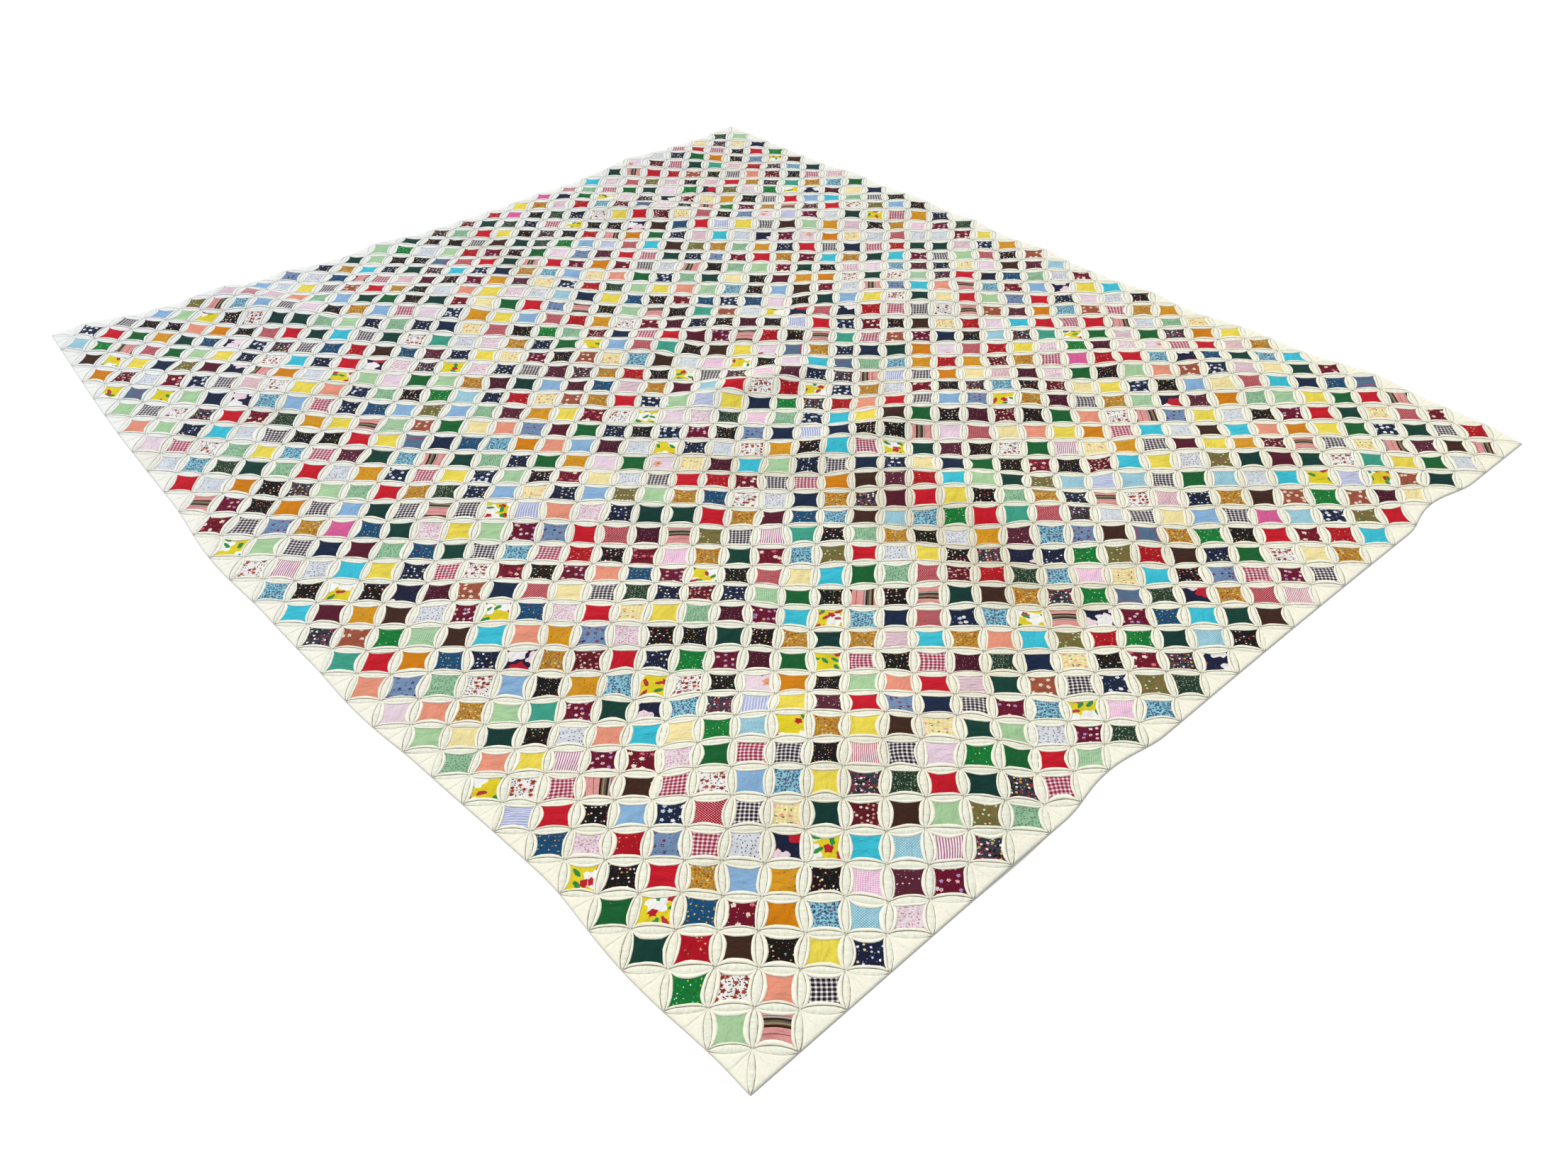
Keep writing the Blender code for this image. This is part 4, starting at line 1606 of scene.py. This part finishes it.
@dataclass
class Patches:
    """The cotton patches in the windows, grouped in pieces by kind of fabric."""

    petals: Petals
    steps: int = 6
    floor: float = 0.0020
    puff: float = 0.0008
    puff_spread: tuple[float, float] = (0.4, 1.4)
    tuck: float = 0.0045
    tuck_at_node: float = 0.0035
    # Each patch has one crease: its height, whose share varies, its place and its width, both in
    # shares of the patch.
    crease: float = 0.0006
    crease_spread: tuple[float, float] = (-0.6, 1.0)
    crease_place: float = 0.25
    crease_width: float = 0.16
    ruffle: float = 0.00012
    flat_edge: float = 3.0
    tilt_degrees: float = 2.5
    apart: float = 1.05
    seed: int = 67
    cutting_seed: int = 498

    def shape(self) -> Shape:
        """Model one patch.

        Returns:
            A small square grid, with the ways along its two sides for X and Y.
        """
        ways = np.arange(self.steps + 1) / self.steps
        first, second = np.meshgrid(ways, ways, indexing="ij")
        return Shape.from_grid(np.stack([first, second, 0 * first], axis=-1))

    def windows(self) -> np.ndarray:
        """Find the whole windows.

        Returns:
            The middle of each, blocks across and along, from the near corner outwards.
        """
        across, along = self.petals.lay.blocks().tolist()
        upright = [(a, b + 0.5) for a in range(1, across) for b in range(along)]
        level = [(a + 0.5, b) for a in range(across) for b in range(1, along)]
        return np.array(sorted(upright + level, key=lambda spot: (sum(spot), spot[0])))

    def choose_fabrics(self, windows: np.ndarray) -> np.ndarray:
        """Pick a fabric for each window, unlike its neighbours'.

        Args:
            windows: The windows' middles, from the near corner outwards.

        Returns:
            The number of a fabric for each window.
        """
        random = np.random.default_rng(self.seed)
        number = {fabric.name: place for place, fabric in enumerate(FABRICS)}
        charted = {
            (0.5 + place / 2, row + 1 - place / 2): number[name]
            for row, names in enumerate(NEAR_ROWS)
            for place, name in enumerate(names.split())
        }
        weights = np.array([fabric.weight for fabric in FABRICS], float)
        weights = weights / weights.sum()
        chosen = np.array([charted.get(tuple(spot), -1) for spot in windows.tolist()])
        for place in np.flatnonzero(chosen < 0):
            near = np.linalg.norm(windows - windows[place], axis=1) < self.apart
            taken = set(chosen[near])
            pick = random.choice(len(FABRICS), p=weights)
            while pick in taken:
                pick = random.choice(len(FABRICS), p=weights)
            chosen[place] = pick
        return chosen

    def spots(self, shape: Shape, windows: np.ndarray) -> np.ndarray:
        """Lay each patch in its window, with its edges tucked under the rims.

        Args:
            shape: One patch.
            windows: The windows' middles.

        Returns:
            Blocks across and along, for each point of each patch.
        """
        first, second, _ = shape.points.T
        runs = []
        for way, other in ((first, second), (second, first)):
            full = self.petals.fullness(other) ** self.petals.rim_bluntness
            inset = (self.tuck_at_node + self.tuck * full) / self.petals.length()
            runs.append((inset + way * (1 - 2 * inset))[:, None])
        offsets = runs[0] * np.array([0.5, 0.5]) + runs[1] * np.array([-0.5, 0.5])
        return windows[:, None] + np.array([0.0, -0.5]) + offsets

    def heights(self, shape: Shape, count: int, random: np.random.Generator) -> np.ndarray:
        """Puff and crease each patch in its own way.

        Args:
            shape: One patch.
            count: How many patches there are.
            random: Where the patches' chances come from.

        Returns:
            The height over the quilt's underside, for each point of each patch.
        """
        first, second, _ = shape.points.T
        dome = 16 * first * (1 - first) * second * (1 - second)
        puff = self.puff * random.uniform(*self.puff_spread, (count, 1)) * dome
        angle = random.uniform(0, math.pi, (count, 1))
        line = (first - 0.5) * np.cos(angle) + (second - 0.5) * np.sin(angle)
        line = line - random.uniform(-self.crease_place, self.crease_place, (count, 1))
        line = line / self.crease_width
        size = self.crease * random.uniform(*self.crease_spread, (count, 1))
        ruffle = random.normal(0, self.ruffle, (count, len(first)))
        inner = np.clip(self.flat_edge * dome, 0.0, 1.0)
        return self.floor + puff + (size * np.exp(-line * line) + ruffle) * inner

    def yardage(self, flat: np.ndarray, random: np.random.Generator) -> np.ndarray:
        """Give each patch its own place on its cloth, cut along the threads.

        Args:
            flat: The patches' face corners from their middles, in blocks.
            random: Where the cutting's chances come from.

        Returns:
            Places on the cloth in metres, for each face corner of each patch.
        """
        count = len(flat)
        quarter = 45.0 + random.integers(0, 4, count) * 90.0
        tilt = random.normal(0, self.tilt_degrees, count)
        angle = np.radians(quarter + tilt)[:, None]
        cosine, sine = np.cos(angle), np.sin(angle)
        first, second = flat[..., 0], flat[..., 1]
        turned = (first * cosine - second * sine, first * sine + second * cosine)
        shift = random.uniform(0, 1, (count, 1, 2))
        return np.stack(turned, axis=-1) * self.petals.lay.block + shift

    def build(self) -> list[Object]:
        """Lay a patch in each window.

        Returns:
            The pieces, one for each group of fabrics, each fabric with its own material.
        """
        shape = self.shape()
        windows = self.windows()
        chosen = self.choose_fabrics(windows)
        random = np.random.default_rng(self.cutting_seed)
        heights = self.heights(shape, len(windows), random)
        spots = self.spots(shape, windows)
        yardage = self.yardage(spots[:, shape.corner_points] - windows[:, None], random)
        made = []
        for piece in dict.fromkeys(fabric.piece for fabric in FABRICS):
            numbers = [n for n, fabric in enumerate(FABRICS) if fabric.piece == piece]
            wanted = np.isin(chosen, numbers)
            placed = (self.petals.lay, spots[wanted], heights[wanted])
            finishes = [PatchCotton(FABRICS[number]).material() for number in numbers]
            patches = joined_copies(
                f"patches_{piece}", shape, placed, yardage[wanted], finishes
            )
            slots = np.repeat(np.searchsorted(numbers, chosen[wanted]), len(shape.starts))
            write_numbers(patches.data.polygons, "material_index", slots, np.int32)
            made.append(patches)
        return made


@dataclass
class Studio:
    """The pale floor, the light and the camera."""

    lay: Lay
    # The camera's place over the quilt's own floor: metres across, along and up from the corner.
    camera_across: float = -0.4358
    camera_along: float = -0.6304
    camera_height: float = 1.3800
    forward: tuple[float, float, float] = (0.49801, 0.58614, -0.63909)
    right: tuple[float, float, float] = (0.74733, -0.66393, -0.02657)
    frame_width: float = 2212.0
    focal_pixels: float = 1854.9
    sensor: float = 36.0
    clip: tuple[float, float] = (0.05, 50.0)
    floor_colour: str = "#F7F7F5"
    floor_roughness: float = 0.95
    floor_size: float = 40.0
    floor_gap: float = 0.0002
    sky_strength: float = 0.62
    sky_colour: str = "#F6F9FF"
    sun_strength: float = 2.4
    sun_colour: str = "#FFFAF0"
    sun_angle: float = 8.0
    sun_azimuth: float = -28.0
    sun_elevation: float = 46.0
    sun_distance: float = 4.0
    # A window stands near the quilt's left corner and gives it a cool cast there.
    window_power: float = 8.0
    window_colour: str = "#7FA8FF"
    window_size: float = 1.2
    window_spot: tuple[float, float, float] = (-2.3, -1.7, 1.3)
    window_aim: tuple[float, float, float] = (-0.9, -0.7, 0.0)

    def turned(self, way: tuple[float, float, float]) -> Vector:
        """Turn a direction given across, along and up into the room's axes."""
        return Vector((-way[1], way[0], way[2])).normalized()

    def add_floor(self) -> Object:
        """Lay the floor just under the quilt.

        Returns:
            The floor, staged.
        """
        spot = (0.0, 0.0, -self.floor_gap)
        bpy.ops.object.select_all(action="DESELECT")
        bpy.ops.mesh.primitive_plane_add(size=self.floor_size, location=spot)
        floor = bpy.context.object
        floor.name = "floor"
        # Matte white paint gives the eye one even pale ground, with soft contact shadows.
        material, _ = new_material("matte_painted_studio_floor")
        sockets = material.node_tree.nodes["Principled BSDF"].inputs
        sockets["Base Color"].default_value = linear_colour(self.floor_colour)
        sockets["Roughness"].default_value = self.floor_roughness
        floor.data.materials.append(material)
        return floor

    def hang(self, data: Light, spot: Vector, aim: Vector, colour: str) -> None:
        """Hang a lamp in the room.

        Args:
            data: The lamp.
            spot: Where it hangs.
            aim: The point that it is turned to.
            colour: Its colour.
        """
        data.color = linear_colour(colour)[:3]
        lamp = bpy.data.objects.new(data.name, data)
        lamp.location = spot
        lamp.rotation_euler = (aim - spot).to_track_quat("-Z", "Y").to_euler()
        bpy.context.scene.collection.objects.link(lamp)

    def add_light(self) -> None:
        """Light the quilt from its far left, with a soft even sky."""
        world = bpy.data.worlds.new("soft_studio_light")
        world.use_nodes = True
        sockets = world.node_tree.nodes["Background"].inputs
        sockets["Color"].default_value = linear_colour(self.sky_colour)
        sockets["Strength"].default_value = self.sky_strength
        bpy.context.scene.world = world
        forward = self.turned(self.forward)
        heading = math.atan2(forward.y, forward.x) - math.radians(self.sun_azimuth)
        rise = math.radians(self.sun_elevation)
        source = Vector((math.cos(heading), math.sin(heading), math.tan(rise))).normalized()
        sun = bpy.data.lights.new("key_light", "SUN")
        sun.energy = self.sun_strength
        sun.angle = math.radians(self.sun_angle)
        self.hang(sun, source * self.sun_distance, Vector(), self.sun_colour)
        window = bpy.data.lights.new("window_light", "AREA")
        window.energy = self.window_power
        window.size = self.window_size
        self.hang(window, Vector(self.window_spot), Vector(self.window_aim), self.window_colour)

    def add_camera(self) -> Object:
        """Stand the camera where the photograph was taken from.

        Returns:
            The scene's camera.
        """
        data = bpy.data.cameras.new("camera")
        data.sensor_width = self.sensor
        data.lens = self.focal_pixels / self.frame_width * self.sensor
        data.clip_start, data.clip_end = self.clip
        forward, right = self.turned(self.forward), self.turned(self.right)
        up = right.cross(forward)
        camera = bpy.data.objects.new("camera", data)
        camera.matrix_world = Matrix((right, up, -forward)).transposed().to_4x4()
        half_across, half_along = self.lay.blocks() * self.lay.block / 2
        corner = np.array([half_along - self.camera_along, self.camera_across - half_across])
        camera.location = (*(corner - self.lay.middle), self.camera_height)
        bpy.context.scene.collection.objects.link(camera)
        bpy.context.scene.camera = camera
        return camera


@dataclass
class Quilt:
    """The whole quilt: its ground, its petals and its patches."""

    lay: Lay
    flat_width: float = 1.90
    flat_length: float = 2.28
    ground_finish: Muslin = Muslin(name="unbleached_cotton_muslin_joined_blocks", seam_pitch=0.076)
    # Painted shade: the lenses, sunk between the rims, are painted greyer and darker than the rims for
    # the shade there; their cloth is also less pressed, with finer wrinkles and more mottle.
    lens_finish: Muslin = Muslin(
        name="unbleached_cotton_muslin_folded_in",
        weave=WovenCotton(thread=1.3, wrinkle=10.0, wrinkle_depth=1.5, mottle=0.15),
        warm="#E9E6D2",
        cool="#E5E8DA",
        far="#E1E4DE",
    )

    def build(self, floor: Object) -> list[Object]:
        """Args:
            floor: What the quilt rests on; it is not used.

        Returns:
            All the pieces.
        """
        petals = Petals(self.lay)
        muslin = Muslin().material()
        ground = MuslinGround(self.lay, self.ground_finish.material()).build()
        cloth = [ground, *RolledRims(petals, muslin).build()]
        cloth.append(PetalLenses(petals, self.lens_finish.material()).build())
        cloth.append(BorderFlaps(petals, muslin).build())
        patches = Patches(petals).build()
        for piece in cloth + patches:
            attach(piece, BODY)
            LOG.info("%s: %d faces", piece.name, len(piece.data.polygons))
        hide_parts(NODE)
        return cloth + patches


def main() -> None:
    """Build the quilt and its studio; the quilt notes how many faces each piece has."""
    logging.basicConfig(level=logging.INFO, format="%(name)s: %(message)s")
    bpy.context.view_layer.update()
    bpy.context.scene.view_settings.view_transform = "Standard"
    lay = Lay()
    studio = Studio(lay)
    floor = studio.add_floor()
    studio.add_light()
    studio.add_camera()
    Quilt(lay).build(floor)


if __name__ == "__main__":
    main()
